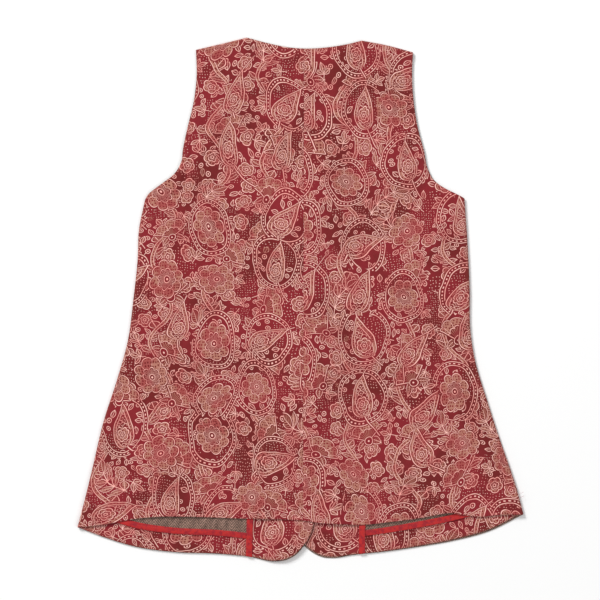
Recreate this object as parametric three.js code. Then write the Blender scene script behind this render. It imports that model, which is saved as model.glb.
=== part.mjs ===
import * as THREE from "three";

// A sleeveless waistcoat laid flat on its fronts, with its back up. Millimetres.
// X runs to the wearer's right, Y from the hem to the neck, and Z up from the surface it lies on.

// Walls, and the space kept between neighbours
const SHELL = 1.4;
const LIGHT = 1.0;
const GAP = 0.3;

// Heights: the level of the back's underside over the body, its rise over the bound hem,
// and its rise where one front laps over the other
const BODY_LIFT = 3.0;
const HEM_LIFT = 1.3;
const LAP_LIFT = 2.0;
const LAP_STEP = SHELL + LIGHT + 2 * GAP;
const BUTTON_LIFT = 2.5;

// Landmarks: the middle of the lap, the seam down the back, and where each armhole begins and ends
const LAP_X = 4.4;
const SEAM_HEM_X = 3.6;
const SEAM_NECK_X = 5.1;
const LEFT_NECK_X = -77.6;
const RIGHT_NECK_X = 89.2;
const FRONT_ARMHOLE_INSET = 7;

// The turned edge at a seam, the sag of a free edge, and how far a seam holds it up
const TURN = 2.6;
const TURN_ANGLES = [90, 60, 30, 0];
const FREE_SAG = 0.8;
const FREE_REACH = 8;
const SEAM_SAG = 0.45;
const SEAM_REACH = 4;
const SEAM_HOLD = 14;

// Facings, lining and tape, which end under the back
const FACING_DEPTH = 33;
const TAPE_TOP = 34.4;
const TAPE_WIDTH = 8.5;
const FACING_INSET = 0.8;
const LINING_TOP_Y = -262;
const FACING_TOP_Y = -286;
const SIDE_CLEARANCE = 4.5;
const LEFT_TAPE = { outerTop: -77.9, outerBottom: -79.2, width: 9.3 };
const RIGHT_TAPE = { outerTop: 94.3, outerBottom: 93.6, width: 9.3 };
const JOIN_FROM_OUTER = 1.2;

// Buttons on the hidden front
const BUTTON = { radius: 9, thick: 2.2, rim: 1.6, dish: 0.6, round: 0.5 };
const BUTTON_Y = [132, 52, -28, -108, -188];

// Colours
const PRINT = new THREE.MeshStandardMaterial({ color: 0xa35a55, roughness: 0.9, metalness: 0 });
const LINING = new THREE.MeshStandardMaterial({ color: 0x806054, roughness: 0.85, metalness: 0 });
const TAPE = new THREE.MeshStandardMaterial({ color: 0xb02a30, roughness: 0.7, metalness: 0 });
const HORN = new THREE.MeshStandardMaterial({ color: 0x5a2420, roughness: 0.4, metalness: 0 });

// Side seams, from the hem to the underarm
const LEFT_SIDE = [
  { y: -330.2, x: -323.4 },
  { y: -290.4, x: -312.9 },
  { y: -246.9, x: -302.3 },
  { y: -174.4, x: -284.9 },
  { y: -116.4, x: -266.1 },
  { y: -58.4, x: -250.1 },
  { y: 0, x: -242.4 },
  { y: 57.6, x: -236.2 },
  { y: 101.1, x: -234.2 },
  { y: 144.6, x: -225.5 },
];
const RIGHT_SIDE = [
  { y: -311.4, x: 323.4 },
  { y: -275.9, x: 313.9 },
  { y: -246.9, x: 304.6 },
  { y: -203.4, x: 289.3 },
  { y: -145.4, x: 270.4 },
  { y: -87.4, x: 253 },
  { y: -43.9, x: 246.4 },
  { y: 14.1, x: 245.4 },
  { y: 79.4, x: 242.4 },
  { y: 146.8, x: 237.8 },
];

// Armholes, from the underarm to the shoulder tip
const LEFT_ARMHOLE = [
  { y: 144.6, x: -225.5 },
  { y: 153.3, x: -220 },
  { y: 166.4, x: -203.7 },
  { y: 180.9, x: -184.6 },
  { y: 199.7, x: -173 },
  { y: 217.1, x: -170.6 },
  { y: 246.1, x: -164.6 },
  { y: 289.6, x: -154.4 },
  { y: 325, x: -150.6 },
  { y: 361.4, x: -151.5 },
];
const RIGHT_ARMHOLE = [
  { y: 146.8, x: 237.8 },
  { y: 151, x: 230 },
  { y: 159.1, x: 213.9 },
  { y: 167.1, x: 200.8 },
  { y: 175.1, x: 192.1 },
  { y: 185.2, x: 186.4 },
  { y: 217.1, x: 178.7 },
  { y: 246.1, x: 170.9 },
  { y: 290, x: 163.9 },
  { y: 333.1, x: 161.9 },
  { y: 357.8, x: 163.1 },
];

// Shoulders, from the tip to the neck point, and the neck of the back between them
const LEFT_SHOULDER = [
  { x: -151.5, y: 361.4 },
  { x: -115.3, y: 370.1 },
  { x: -77.6, y: 379.5 },
];
const NECK = [
  { x: -77.6, y: 379.5 },
  { x: -47.1, y: 371.6 },
  { x: -12.3, y: 365.1 },
  { x: 5.1, y: 364.1 },
  { x: 39.9, y: 365.8 },
  { x: 66, y: 369.8 },
  { x: 89.2, y: 375.2 },
];
const RIGHT_SHOULDER = [
  { x: 89.2, y: 375.2 },
  { x: 125, y: 368.2 },
  { x: 163.1, y: 357.8 },
];

// Hem of the back, which waves a little as it lies
const BACK_HEM = [
  { x: -323.4, y: -330.2 },
  { x: -282, y: -325.2 },
  { x: -247.2, y: -318.6 },
  { x: -208.1, y: -314.7 },
  { x: -154.4, y: -314.7 },
  { x: -94.1, y: -316.9 },
  { x: -29.7, y: -318.1 },
  { x: 3.6, y: -320.1 },
  { x: 28.3, y: -323.5 },
  { x: 58.7, y: -325.4 },
  { x: 89.2, y: -326.3 },
  { x: 131.2, y: -322 },
  { x: 168.2, y: -317.3 },
  { x: 196.5, y: -312.3 },
  { x: 213.9, y: -309.2 },
  { x: 238.5, y: -312.1 },
  { x: 260.3, y: -314.6 },
  { x: 285, y: -312.1 },
  { x: 323.4, y: -311.4 },
];

// Hems of the fronts, each to the middle of its rounded lower corner
const LEFT_FRONT_HEM = [
  { x: -323.4, y: -330.2 },
  { x: -290.7, y: -342.6 },
  { x: -238.5, y: -358.5 },
  { x: -186.3, y: -365.8 },
  { x: -116.7, y: -368.7 },
  { x: -73.2, y: -373 },
  { x: -36, y: -379.5 },
  { x: -19, y: -376.6 },
  { x: -3.6, y: -367.2 },
  { x: 5, y: -357 },
];
const RIGHT_FRONT_HEM = [
  { x: 4.4, y: -356 },
  { x: 13.8, y: -364 },
  { x: 29, y: -372.3 },
  { x: 48.6, y: -374.5 },
  { x: 74.7, y: -370.4 },
  { x: 118.2, y: -365.8 },
  { x: 170.4, y: -358.5 },
  { x: 222.6, y: -349.4 },
  { x: 274.8, y: -335.3 },
  { x: 323.4, y: -311.4 },
];

// Edges of the fronts, from the lower corner up the lap and along the open neck
const LEFT_FRONT_EDGE = [
  { y: -357, x: 5 },
  { y: -344.6, x: 12.9 },
  { y: -332, x: 18 },
  { y: -316, x: 20.7 },
  { y: -296, x: 21 },
  { y: 130, x: 21 },
  { y: 155, x: 18.5 },
  { y: 190, x: 7.5 },
  { y: 245, x: -18 },
  { y: 310, x: -48 },
  { y: 379.5, x: -77.6 },
];
const RIGHT_FRONT_EDGE = [
  { y: -356, x: 4.4 },
  { y: -344.6, x: -4 },
  { y: -332, x: -9.2 },
  { y: -316, x: -12 },
  { y: -296, x: -12.3 },
  { y: 130, x: -12.3 },
  { y: 155, x: -9.8 },
  { y: 190, x: 1.2 },
  { y: 245, x: 27.5 },
  { y: 310, x: 59 },
  { y: 375.2, x: 89.2 },
];

// Soft ridges and troughs of the back as it lies. A fold runs along its angle from +X.
const FOLDS = [
  { x: -188, y: 106, angle: -52, length: 60, width: 15, height: 0.8 },
  { x: -150, y: 40, angle: -68, length: 90, width: 22, height: 0.7 },
  { x: -214, y: -60, angle: 66, length: 70, width: 16, height: 0.6 },
  { x: -90, y: -90, angle: 82, length: 120, width: 26, height: 0.6 },
  { x: 198, y: 104, angle: -126, length: 66, width: 16, height: 0.8 },
  { x: 150, y: 30, angle: -108, length: 80, width: 20, height: 0.6 },
  { x: 220, y: -70, angle: -70, length: 70, width: 16, height: 0.7 },
  { x: 90, y: -120, angle: 96, length: 130, width: 28, height: 0.7 },
  { x: -112, y: 300, angle: 75, length: 60, width: 16, height: 0.6 },
  { x: 118, y: 292, angle: -78, length: 64, width: 18, height: 0.6 },
  { x: -268, y: -285, angle: 72, length: 80, width: 17, height: 0.9 },
  { x: -182, y: -292, angle: 84, length: 105, width: 24, height: 1.3 },
  { x: -60, y: -300, angle: 93, length: 80, width: 22, height: 0.6 },
  { x: 128, y: -296, angle: 99, length: 95, width: 22, height: 0.8 },
  { x: 212, y: -290, angle: 105, length: 90, width: 20, height: 1.5 },
  { x: 290, y: -280, angle: 110, length: 60, width: 15, height: 0.7 },
  { x: -176, y: 204, angle: 82, length: 24, width: 7, height: 0.7 },
  { x: -166, y: 180, angle: 84, length: 17, width: 4.5, height: -1.1 },
  { x: -177, y: 154, angle: 32, length: 13, width: 4.5, height: -0.8 },
  { x: -155, y: 172, angle: 70, length: 24, width: 9, height: 0.6 },
];

function mix(from, to, share) {
  return from + (to - from) * share;
}

// Zero before the first place, one after the second, and a smooth step between them.
function step(from, to, at) {
  const share = Math.min(Math.max((at - from) / (to - from), 0), 1);
  return share * share * (3 - 2 * share);
}

// A smooth curve through a table's rows. A row's slope is that of its two neighbours,
// weighted towards the nearer one.
function curve(table, along, across) {
  const places = table.map((row) => row[along]);
  const values = table.map((row) => row[across]);
  const last = places.length - 1;
  const rise = (k) => (values[k + 1] - values[k]) / (places[k + 1] - places[k]);
  const slopes = places.map((place, k) => {
    if (k === 0) return rise(0);
    if (k === last) return rise(last - 1);
    const share = (place - places[k - 1]) / (places[k + 1] - places[k - 1]);
    return mix(rise(k - 1), rise(k), share);
  });
  return (at) => {
    const next = places.findIndex((place) => at < place);
    const k = next < 0 ? last - 1 : Math.max(next - 1, 0);
    const span = places[k + 1] - places[k];
    const t = (at - places[k]) / span;
    const along0 = slopes[k] * span * t * (1 - t) * (1 - t);
    const along1 = slopes[k + 1] * span * t * t * (t - 1);
    return mix(values[k], values[k + 1], t * t * (3 - 2 * t)) + along0 + along1;
  };
}

const leftSide = curve(LEFT_SIDE, "y", "x");
const rightSide = curve(RIGHT_SIDE, "y", "x");
const leftArmhole = curve(LEFT_ARMHOLE, "y", "x");
const rightArmhole = curve(RIGHT_ARMHOLE, "y", "x");
const leftShoulder = curve(LEFT_SHOULDER, "x", "y");
const rightShoulder = curve(RIGHT_SHOULDER, "x", "y");
const neck = curve(NECK, "x", "y");
const backHem = curve(BACK_HEM, "x", "y");
const leftFrontHem = curve(LEFT_FRONT_HEM, "x", "y");
const rightFrontHem = curve(RIGHT_FRONT_HEM, "x", "y");
const leftFrontEdge = curve(LEFT_FRONT_EDGE, "y", "x");
const rightFrontEdge = curve(RIGHT_FRONT_EDGE, "y", "x");

const LEFT_UNDERARM = LEFT_ARMHOLE[0];
const RIGHT_UNDERARM = RIGHT_ARMHOLE[0];
const LEFT_TIP = LEFT_ARMHOLE.at(-1);
const RIGHT_TIP = RIGHT_ARMHOLE.at(-1);
const LEFT_CORNER = LEFT_SIDE[0];
const RIGHT_CORNER = RIGHT_SIDE[0];

// How far the fronts are pushed up by the buttons beneath them
function buttonRise(x, y) {
  const across = 1 - step(13, 46, Math.abs(x - LAP_X));
  const along = step(-250, -200, y) * (1 - step(148, 216, y));
  return BUTTON_LIFT * across * along;
}

// How far the left front steps up to lie over the right one
function lapRise(x, y) {
  return LAP_STEP * step(-66, -16, x) * (1 - step(200, 270, y));
}

// The ridges and troughs of the back, each a long low mound
function foldRise(x, y) {
  let rise = 0;
  for (const fold of FOLDS) {
    const angle = THREE.MathUtils.degToRad(fold.angle);
    const dx = x - fold.x;
    const dy = y - fold.y;
    const along = (dx * Math.cos(angle) + dy * Math.sin(angle)) / fold.length;
    const across = (dy * Math.cos(angle) - dx * Math.sin(angle)) / fold.width;
    rise += fold.height * Math.exp(-along * along - across * across);
  }
  return rise;
}

// Middle heights of the walls
const rightFrontZ = (x, y) => SHELL / 2 + buttonRise(x, y);
const leftFrontZ = (x, y) => rightFrontZ(x, y) + lapRise(x, y);

function backZ(x, y) {
  const hem = HEM_LIFT * (1 - step(-285, -200, y));
  const lap = LAP_LIFT * step(-78, -22, x) * (1 - step(27, 84, x)) * (1 - step(200, 290, y));
  return BODY_LIFT + hem + lap + buttonRise(x, y) + foldRise(x, y) + SHELL / 2;
}

// What lies on a front is that front's height, moved up by the layers below it.
const onFront = (frontZ, layer) => (x, y) =>
  frontZ(x, y) + (SHELL + LIGHT) / 2 + GAP + layer * (LIGHT + GAP);

// At a seam both walls turn to meet at half height, the gap apart.
function turnHeight(x, y) {
  return (backZ(x, y) - SHELL / 2 - GAP) / 2;
}

// How much of its turn an edge makes, and where: all of it on a seam and none on a free edge
const NEVER = () => 0;
const ALWAYS = () => 1;
const leftSeam = (x, y) => 1 - step(LEFT_UNDERARM.y, LEFT_UNDERARM.y + 14, y);
const rightSeam = (x, y) => 1 - step(RIGHT_UNDERARM.y, RIGHT_UNDERARM.y + 14, y);
const leftBackTop = (x) => 1 - step(LEFT_NECK_X, LEFT_NECK_X + 12, x);
const rightBackTop = (x) => step(RIGHT_NECK_X - 12, RIGHT_NECK_X, x);

// Stations from zero: each stretch ends at its own place and is cut into even steps.
function stations(stretches) {
  const places = [0];
  for (const { to, steps } of stretches) {
    const from = places.at(-1);
    for (let k = 1; k <= steps; k += 1) places.push(mix(from, to, k / steps));
  }
  return places;
}

const turnPlaces = TURN_ANGLES.map(
  (angle) => TURN * (1 - Math.sin(THREE.MathUtils.degToRad(angle)))
);
const endPlaces = (length, places) => places.map((place) => length - place).reverse();

// An edge that runs up at x(y), or across at y(x), as a function of the share of its length
const upright = (x, y0, y1) => (share) => [x(mix(y0, y1, share)), mix(y0, y1, share)];
const level = (y, x0, x1) => (share) => [mix(x0, x1, share), y(mix(x0, x1, share))];

// A point of a four-sided patch: rows join the left edge to the right one, and columns the
// bottom edge to the top one, and what the rows miss of the side edges is added back.
function patchPoint({ left, right, bottom, top }, u, v) {
  return [0, 1].map((k) => {
    const column = (share) => mix(bottom(share)[k], top(share)[k], v);
    return column(u) + (1 - u) * (left(v)[k] - column(0)) + u * (right(v)[k] - column(1));
  });
}

// A cloth wall over a patch. Columns are measured from the left edge and rows from the bottom.
// The wall has its thickness across its middle surface, and turns over at its seams.
function clothWall(name, material, cloth) {
  const { edges, columns, rows, height, thick, seams = {}, sags = {}, way = 1 } = cloth;
  const tall = rows.at(-1);
  const middle = rows.map((row) => {
    const v = row / tall;
    const wide = edges.right(v)[0] - edges.left(v)[0];
    return columns(wide).map((column) => {
      const [x, y] = patchPoint(edges, column / wide, v);
      const distance = { left: column, right: wide - column, bottom: row, top: tall - row };
      let turn = 0;
      let held = 0;
      let sag = 0;
      for (const [side, away] of Object.entries(distance)) {
        const share = seams[side] ? seams[side](x, y) : 0;
        const inner = Math.max(1 - away / TURN, 0);
        turn = Math.max(turn, share * (1 - Math.sqrt(1 - inner * inner)));
        held = Math.max(held, share * (1 - step(TURN, SEAM_HOLD, away)));
        const { deep, reach } = sags[side] ?? { deep: 0, reach: 1 };
        sag += deep * (1 - step(0, reach, away));
      }
      const z = height(x, y) - sag * (1 - held) + way * turn * turnHeight(x, y);
      return new THREE.Vector3(x, y, z);
    });
  });

  const rowCount = middle.length;
  const columnCount = middle[0].length;
  const at = (i, j) => middle[Math.min(Math.max(j, 0), rowCount - 1)][
    Math.min(Math.max(i, 0), columnCount - 1)
  ];
  const normal = (i, j) => {
    const across = at(i + 1, j).clone().sub(at(i - 1, j));
    const up = at(i, j + 1).clone().sub(at(i, j - 1));
    const made = across.clone().cross(up).normalize();
    const { x, y } = at(i, j);
    const outwards = [
      ["left", i === 0, -up.y, up.x],
      ["right", i === columnCount - 1, up.y, -up.x],
      ["top", j === rowCount - 1, -across.y, across.x],
    ];
    for (const [side, onEdge, outX, outY] of outwards) {
      if (!onEdge || !seams[side]) continue;
      const out = new THREE.Vector3(outX, outY, 0).normalize();
      made.lerp(out.multiplyScalar(-way), seams[side](x, y)).normalize();
    }
    return made;
  };

  const position = [];
  for (const side of [0.5, -0.5]) {
    middle.forEach((row, j) => {
      row.forEach((point, i) => {
        position.push(...point.clone().addScaledVector(normal(i, j), side * thick).toArray());
      });
    });
  }

  const index = [];
  const quad = (a, b, c, d) => index.push(a, b, c, a, c, d);
  const upper = (i, j) => j * columnCount + i;
  const lower = (i, j) => upper(i, j) + rowCount * columnCount;
  for (let j = 0; j < rowCount - 1; j += 1) {
    for (let i = 0; i < columnCount - 1; i += 1) {
      quad(upper(i, j), upper(i + 1, j), upper(i + 1, j + 1), upper(i, j + 1));
      quad(lower(i, j), lower(i, j + 1), lower(i + 1, j + 1), lower(i + 1, j));
    }
    const end = columnCount - 1;
    quad(upper(0, j), upper(0, j + 1), lower(0, j + 1), lower(0, j));
    quad(upper(end, j), lower(end, j), lower(end, j + 1), upper(end, j + 1));
  }
  for (let i = 0; i < columnCount - 1; i += 1) {
    const end = rowCount - 1;
    quad(upper(i, 0), lower(i, 0), lower(i + 1, 0), upper(i + 1, 0));
    quad(upper(i, end), upper(i + 1, end), lower(i + 1, end), lower(i, end));
  }

  const geometry = new THREE.BufferGeometry();
  geometry.setAttribute("position", new THREE.Float32BufferAttribute(position, 3));
  geometry.setIndex(index);
  geometry.computeVertexNormals();
  const mesh = new THREE.Mesh(geometry, material);
  mesh.name = name;
  return mesh;
}

// Rows of a panel with an armhole: close at the hem, even up the side, close round the
// underarm's curve and through the turned shoulder.
function panelRows(tall, sideLength) {
  return [
    ...stations([
      { to: 4, steps: 1 },
      { to: 16, steps: 1 },
      { to: sideLength, steps: 13 },
      { to: sideLength + 56, steps: 7 },
      { to: tall - TURN, steps: 6 },
    ]).slice(0, -1),
    ...endPlaces(tall, turnPlaces),
  ];
}

// The back: two panels, seamed down the middle, turned under at the sides and shoulders
function backPanel(name, side) {
  const isLeft = side === "left";
  const half = GAP / 2;
  const seamX = (y) => mix(SEAM_HEM_X, SEAM_NECK_X, (y + 320) / 684) + (isLeft ? -half : half);
  const corner = isLeft ? LEFT_CORNER : RIGHT_CORNER;
  const tip = isLeft ? LEFT_TIP : RIGHT_TIP;
  const underarm = isLeft ? LEFT_UNDERARM : RIGHT_UNDERARM;
  const sideCurve = isLeft ? leftSide : rightSide;
  const armhole = isLeft ? leftArmhole : rightArmhole;
  const seam = isLeft ? leftSeam : rightSeam;
  const shoulder = isLeft ? leftShoulder : rightShoulder;
  const topSeam = isLeft ? leftBackTop : rightBackTop;
  const inward = (SHELL / 2) * (isLeft ? 1 : -1);
  const onShoulder = (x) => (isLeft ? x < LEFT_NECK_X : x > RIGHT_NECK_X);
  const outer = upright(
    (y) => (y < underarm.y ? sideCurve(y) : armhole(y)) + inward * seam(0, y),
    corner.y,
    tip.y
  );
  const inner = upright(seamX, backHem(seamX(-320)), neck(SEAM_NECK_X));
  const top = (x) => (onShoulder(x) ? shoulder(x) : neck(x)) - (SHELL / 2) * topSeam(x);
  const free = { deep: FREE_SAG, reach: FREE_REACH };
  const seamed = { deep: SEAM_SAG, reach: SEAM_REACH };
  const ends = isLeft ? [corner.x, seamX(-320)] : [seamX(-320), corner.x];
  const topEnds = isLeft ? [tip.x, seamX(364)] : [seamX(364), tip.x];
  const tall = tip.y - corner.y;
  const seamPlaces = [0, 1.6, SEAM_REACH];
  return clothWall(name, PRINT, {
    edges: {
      left: isLeft ? outer : inner,
      right: isLeft ? inner : outer,
      bottom: level(backHem, ...ends),
      top: level(top, ...topEnds),
    },
    columns: (wide) => {
      const body = stations([{ to: wide - TURN - SEAM_REACH, steps: 11 }]).slice(1, -1);
      const fromSide = [...turnPlaces, ...body.map((place) => place + TURN)];
      const places = [...fromSide, ...endPlaces(wide, seamPlaces)];
      return isLeft ? places : endPlaces(wide, places);
    },
    rows: panelRows(tall, underarm.y - corner.y),
    height: backZ,
    thick: SHELL,
    seams: isLeft ? { left: seam, top: topSeam } : { right: seam, top: topSeam },
    sags: isLeft
      ? { left: free, right: seamed, top: free }
      : { right: free, left: seamed, top: free },
    way: -1,
  });
}

// The fronts, which lie under the back and lap over each other at the middle
function frontPanel(name, side) {
  const isLeft = side === "left";
  const corner = isLeft ? LEFT_CORNER : RIGHT_CORNER;
  const tip = isLeft ? LEFT_TIP : RIGHT_TIP;
  const underarm = isLeft ? LEFT_UNDERARM : RIGHT_UNDERARM;
  const sideCurve = isLeft ? leftSide : rightSide;
  const armhole = isLeft ? leftArmhole : rightArmhole;
  const seam = isLeft ? leftSeam : rightSeam;
  const shoulder = isLeft ? leftShoulder : rightShoulder;
  const hem = isLeft ? leftFrontHem : rightFrontHem;
  const edgeTable = isLeft ? LEFT_FRONT_EDGE : RIGHT_FRONT_EDGE;
  const edge = isLeft ? leftFrontEdge : rightFrontEdge;
  const sign = isLeft ? 1 : -1;
  const armholeInset = (y) =>
    FRONT_ARMHOLE_INSET * Math.sin((Math.PI * (y - underarm.y)) / (tip.y - underarm.y));
  const outer = upright(
    (y) => {
      const outline = y < underarm.y ? sideCurve(y) : armhole(y) + sign * armholeInset(y);
      return outline + (sign * seam(0, y) * SHELL) / 2;
    },
    corner.y,
    tip.y
  );
  const inner = upright(edge, edgeTable[0].y, edgeTable.at(-1).y - SHELL / 2);
  const top = (x) => shoulder(x) - SHELL / 2;
  const ends = isLeft ? [corner.x, edgeTable[0].x] : [edgeTable[0].x, corner.x];
  const topEnds = isLeft ? [tip.x, LEFT_NECK_X] : [RIGHT_NECK_X, tip.x];
  const tall = tip.y - corner.y;
  return clothWall(name, PRINT, {
    edges: {
      left: isLeft ? outer : inner,
      right: isLeft ? inner : outer,
      bottom: level(hem, ...ends),
      top: level(top, ...topEnds),
    },
    columns: (wide) => {
      const fit = Math.min(1, wide / 240);
      const lapPlaces = stations([{ to: 88, steps: 8 }]).map((place) => place * fit);
      const body = stations([{ to: wide - TURN - lapPlaces.at(-1), steps: 4 }]).slice(1, -1);
      const fromSide = [...turnPlaces, ...body.map((place) => place + TURN)];
      const places = [...fromSide, ...endPlaces(wide, lapPlaces)];
      return isLeft ? places : endPlaces(wide, places);
    },
    rows: panelRows(tall, underarm.y - corner.y),
    height: isLeft ? leftFrontZ : rightFrontZ,
    thick: SHELL,
    seams: isLeft ? { left: seam, top: ALWAYS } : { right: seam, top: ALWAYS },
  });
}

// The inside of a front's hem: its two facings of the print, the lining above them, and the
// tape that binds the facings' edges. The tape covers the join of facing and lining.
function hemPieces(side) {
  const isLeft = side === "left";
  const sign = isLeft ? 1 : -1;
  const corner = isLeft ? LEFT_CORNER : RIGHT_CORNER;
  const sideCurve = isLeft ? leftSide : rightSide;
  const hem = isLeft ? leftFrontHem : rightFrontHem;
  const edgeTable = isLeft ? LEFT_FRONT_EDGE : RIGHT_FRONT_EDGE;
  const edge = isLeft ? leftFrontEdge : rightFrontEdge;
  const frontZ = isLeft ? leftFrontZ : rightFrontZ;
  const tape = isLeft ? LEFT_TAPE : RIGHT_TAPE;
  const tapeOuter = (y) => mix(tape.outerBottom, tape.outerTop, (y + 372) / 55);
  const joinX = (y) => tapeOuter(y) + sign * JOIN_FROM_OUTER;
  const sideX = (y) => sideCurve(y) + sign * SIDE_CLEARANCE;

  // A strip between two upright edges, given from the outer one to the middle of the garment,
  // and two level ones
  const strip = (name, material, layer, outerX, innerX, bottomY, topY, steps) => {
    const guess = { outer: outerX(-330), inner: innerX(-330) };
    const low = { outer: bottomY(guess.outer), inner: bottomY(guess.inner) };
    const high = { outer: topY(guess.outer), inner: topY(guess.inner) };
    const outer = upright(outerX, low.outer, high.outer);
    const inner = upright(innerX, low.inner, high.inner);
    const ends = (yAt) => {
      const pair = [outerX(yAt.outer), innerX(yAt.inner)];
      return isLeft ? pair : pair.reverse();
    };
    return clothWall(name, material, {
      edges: {
        left: isLeft ? outer : inner,
        right: isLeft ? inner : outer,
        bottom: level(bottomY, ...ends(low)),
        top: level(topY, ...ends(high)),
      },
      columns: (wide) => stations([{ to: wide, steps: steps.across }]),
      rows: stations([{ to: high.inner - low.inner, steps: steps.up }]),
      height: onFront(frontZ, layer),
      thick: LIGHT,
    });
  };

  const half = (GAP / 2) * sign;
  const lowestEdge = edgeTable[0];
  const facingEdge = (y) => edge(y) - sign * FACING_INSET;
  const above = (rise) => (x) => hem(x) + rise;
  const across = { across: 16, up: 1 };
  return [
    strip("facing_hem_" + side, PRINT, 0, sideX, (y) => joinX(y) - half,
      above(FACING_INSET), above(FACING_DEPTH), { across: 16, up: 2 }),
    strip("lining_" + side, LINING, 0, sideX, (y) => joinX(y) - half,
      above(FACING_DEPTH + GAP), () => LINING_TOP_Y, { across: 16, up: 3 }),
    strip("tape_hem_" + side, TAPE, 1, sideX, (y) => tapeOuter(y) - sign * GAP,
      above(TAPE_TOP - TAPE_WIDTH), above(TAPE_TOP), across),
    strip("tape_front_" + side, TAPE, 1, tapeOuter, (y) => tapeOuter(y) + sign * tape.width,
      above(FACING_INSET), () => FACING_TOP_Y, { across: 1, up: 6 }),
    strip("facing_front_" + side, PRINT, 0, (y) => joinX(y) + half, facingEdge,
      above(FACING_INSET), () => FACING_TOP_Y, { across: 10, up: 8 }),
  ];
}

// A round button with a raised rim, its face down, in the hollow that it makes in the fronts
function button(number, y) {
  const { radius, thick, rim, dish, round } = BUTTON;
  const profile = [
    [0, dish],
    [radius - rim - 1, dish],
    [radius - rim, 0],
    [radius - round, 0],
    [radius, round],
    [radius, thick - round],
    [radius - round, thick],
    [0, thick],
  ].map(([across, up]) => new THREE.Vector2(across, up));
  const mesh = new THREE.Mesh(new THREE.LatheGeometry(profile, 16), HORN);
  mesh.name = "button_" + number;
  mesh.rotation.x = Math.PI / 2;
  mesh.position.set(LAP_X, y, 0);
  return mesh;
}

const waistcoat = new THREE.Group();
waistcoat.add(backPanel("back_left", "left"));
waistcoat.add(backPanel("back_right", "right"));
waistcoat.add(frontPanel("front_left", "left"));
waistcoat.add(frontPanel("front_right", "right"));
waistcoat.add(...hemPieces("left"));
waistcoat.add(...hemPieces("right"));
BUTTON_Y.forEach((y, k) => waistcoat.add(button(k + 1, y)));

export default waistcoat;
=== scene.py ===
import math

import bpy
import numpy as np
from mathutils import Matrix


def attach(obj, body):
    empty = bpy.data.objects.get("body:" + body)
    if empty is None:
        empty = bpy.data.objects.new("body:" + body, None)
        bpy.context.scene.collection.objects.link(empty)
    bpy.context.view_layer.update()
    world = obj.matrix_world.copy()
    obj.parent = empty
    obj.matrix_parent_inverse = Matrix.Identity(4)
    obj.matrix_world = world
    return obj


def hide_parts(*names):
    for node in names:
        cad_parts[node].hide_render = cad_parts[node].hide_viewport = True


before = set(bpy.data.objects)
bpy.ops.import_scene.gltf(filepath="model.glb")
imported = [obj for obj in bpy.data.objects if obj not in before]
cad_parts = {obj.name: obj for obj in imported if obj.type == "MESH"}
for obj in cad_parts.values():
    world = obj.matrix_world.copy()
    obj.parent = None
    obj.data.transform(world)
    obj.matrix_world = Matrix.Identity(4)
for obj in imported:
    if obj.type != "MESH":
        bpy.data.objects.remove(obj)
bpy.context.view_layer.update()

# The view: straight down on the waistcoat as it lies, from far off through a long lens, so that the
# picture's 600 pixels take in 870 mm. The middle of the picture is a little off the garment's middle.
MM = 0.001
VIEW_WIDTH = 870 * MM
VIEW_MIDDLE = (-0.7 * MM, -0.4 * MM)
EYE_HEIGHT = 6.0
FILM_WIDTH = 36.0

eye = bpy.data.cameras.new("eye")
eye.sensor_width = FILM_WIDTH
eye.lens = FILM_WIDTH * EYE_HEIGHT / VIEW_WIDTH
eye.clip_end = 50
eye_object = bpy.data.objects.new("eye", eye)
eye_object.location = (*VIEW_MIDDLE, EYE_HEIGHT)
bpy.context.collection.objects.link(eye_object)
bpy.context.scene.camera = eye_object
bpy.context.scene.view_settings.view_transform = "Standard"

# The light: a broad soft lamp high on the upper left, a weaker one opposite, and an even pale sky.
# The floor is a plain near-white sheet of board that reaches past the picture on every side.
SKY = 0.46
LAMPS = [
    {"name": "key", "place": (-4.6, 5.4, 4.6), "size": 2.4, "power": 640},
    {"name": "fill", "place": (5.6, -3.2, 6.0), "size": 4.8, "power": 150},
]
FLOOR_SIDE = 6.0
FLOOR_COLOUR = (0.98, 0.98, 0.978, 1)
FLOOR_SHADE = (0.9653, 0.9653, 0.9633, 1)

sky = bpy.data.worlds.new("sky")
sky.use_nodes = True
sky.node_tree.nodes["Background"].inputs["Color"].default_value = (1, 1, 1, 1)
sky.node_tree.nodes["Background"].inputs["Strength"].default_value = SKY
bpy.context.scene.world = sky
for row in LAMPS:
    lamp = bpy.data.lights.new(row["name"], "AREA")
    lamp.size = row["size"]
    lamp.energy = row["power"]
    lamp_object = bpy.data.objects.new(row["name"], lamp)
    lamp_object.location = row["place"]
    aim = -np.array(row["place"])
    lamp_object.rotation_euler = (
        math.acos(-aim[2] / np.linalg.norm(aim)), 0, math.atan2(aim[1], aim[0]) - math.pi / 2)
    bpy.context.collection.objects.link(lamp_object)


def mesh_object(name, points, faces, materials, face_material=None, uv=None, wear_and_edge_shade=None):
    """A new object at the origin from an array of points and one of four-sided faces. uv gives each
    point's place on the flat cloth, in metres, and the last array how far each point is browned near
    its edges, partly by handling and partly as painted edge shade."""
    mesh = bpy.data.meshes.new(name)
    mesh.from_pydata(points.tolist(), [], faces.tolist())
    for material in materials:
        mesh.materials.append(material)
    if face_material is not None:
        mesh.polygons.foreach_set("material_index", face_material)
    if uv is not None:
        layer = mesh.uv_layers.new(name="cloth")
        layer.uv.foreach_set("vector", uv[faces.ravel()].astype(np.float32).ravel())
    if wear_and_edge_shade is not None:
        mesh.attributes.new("wear_and_edge_shade", "FLOAT", "POINT").data.foreach_set("value", wear_and_edge_shade)
    mesh.polygons.foreach_set("use_smooth", np.full(len(faces), True))
    mesh.update()
    made = bpy.data.objects.new(name, mesh)
    bpy.context.collection.objects.link(made)
    return made


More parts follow.
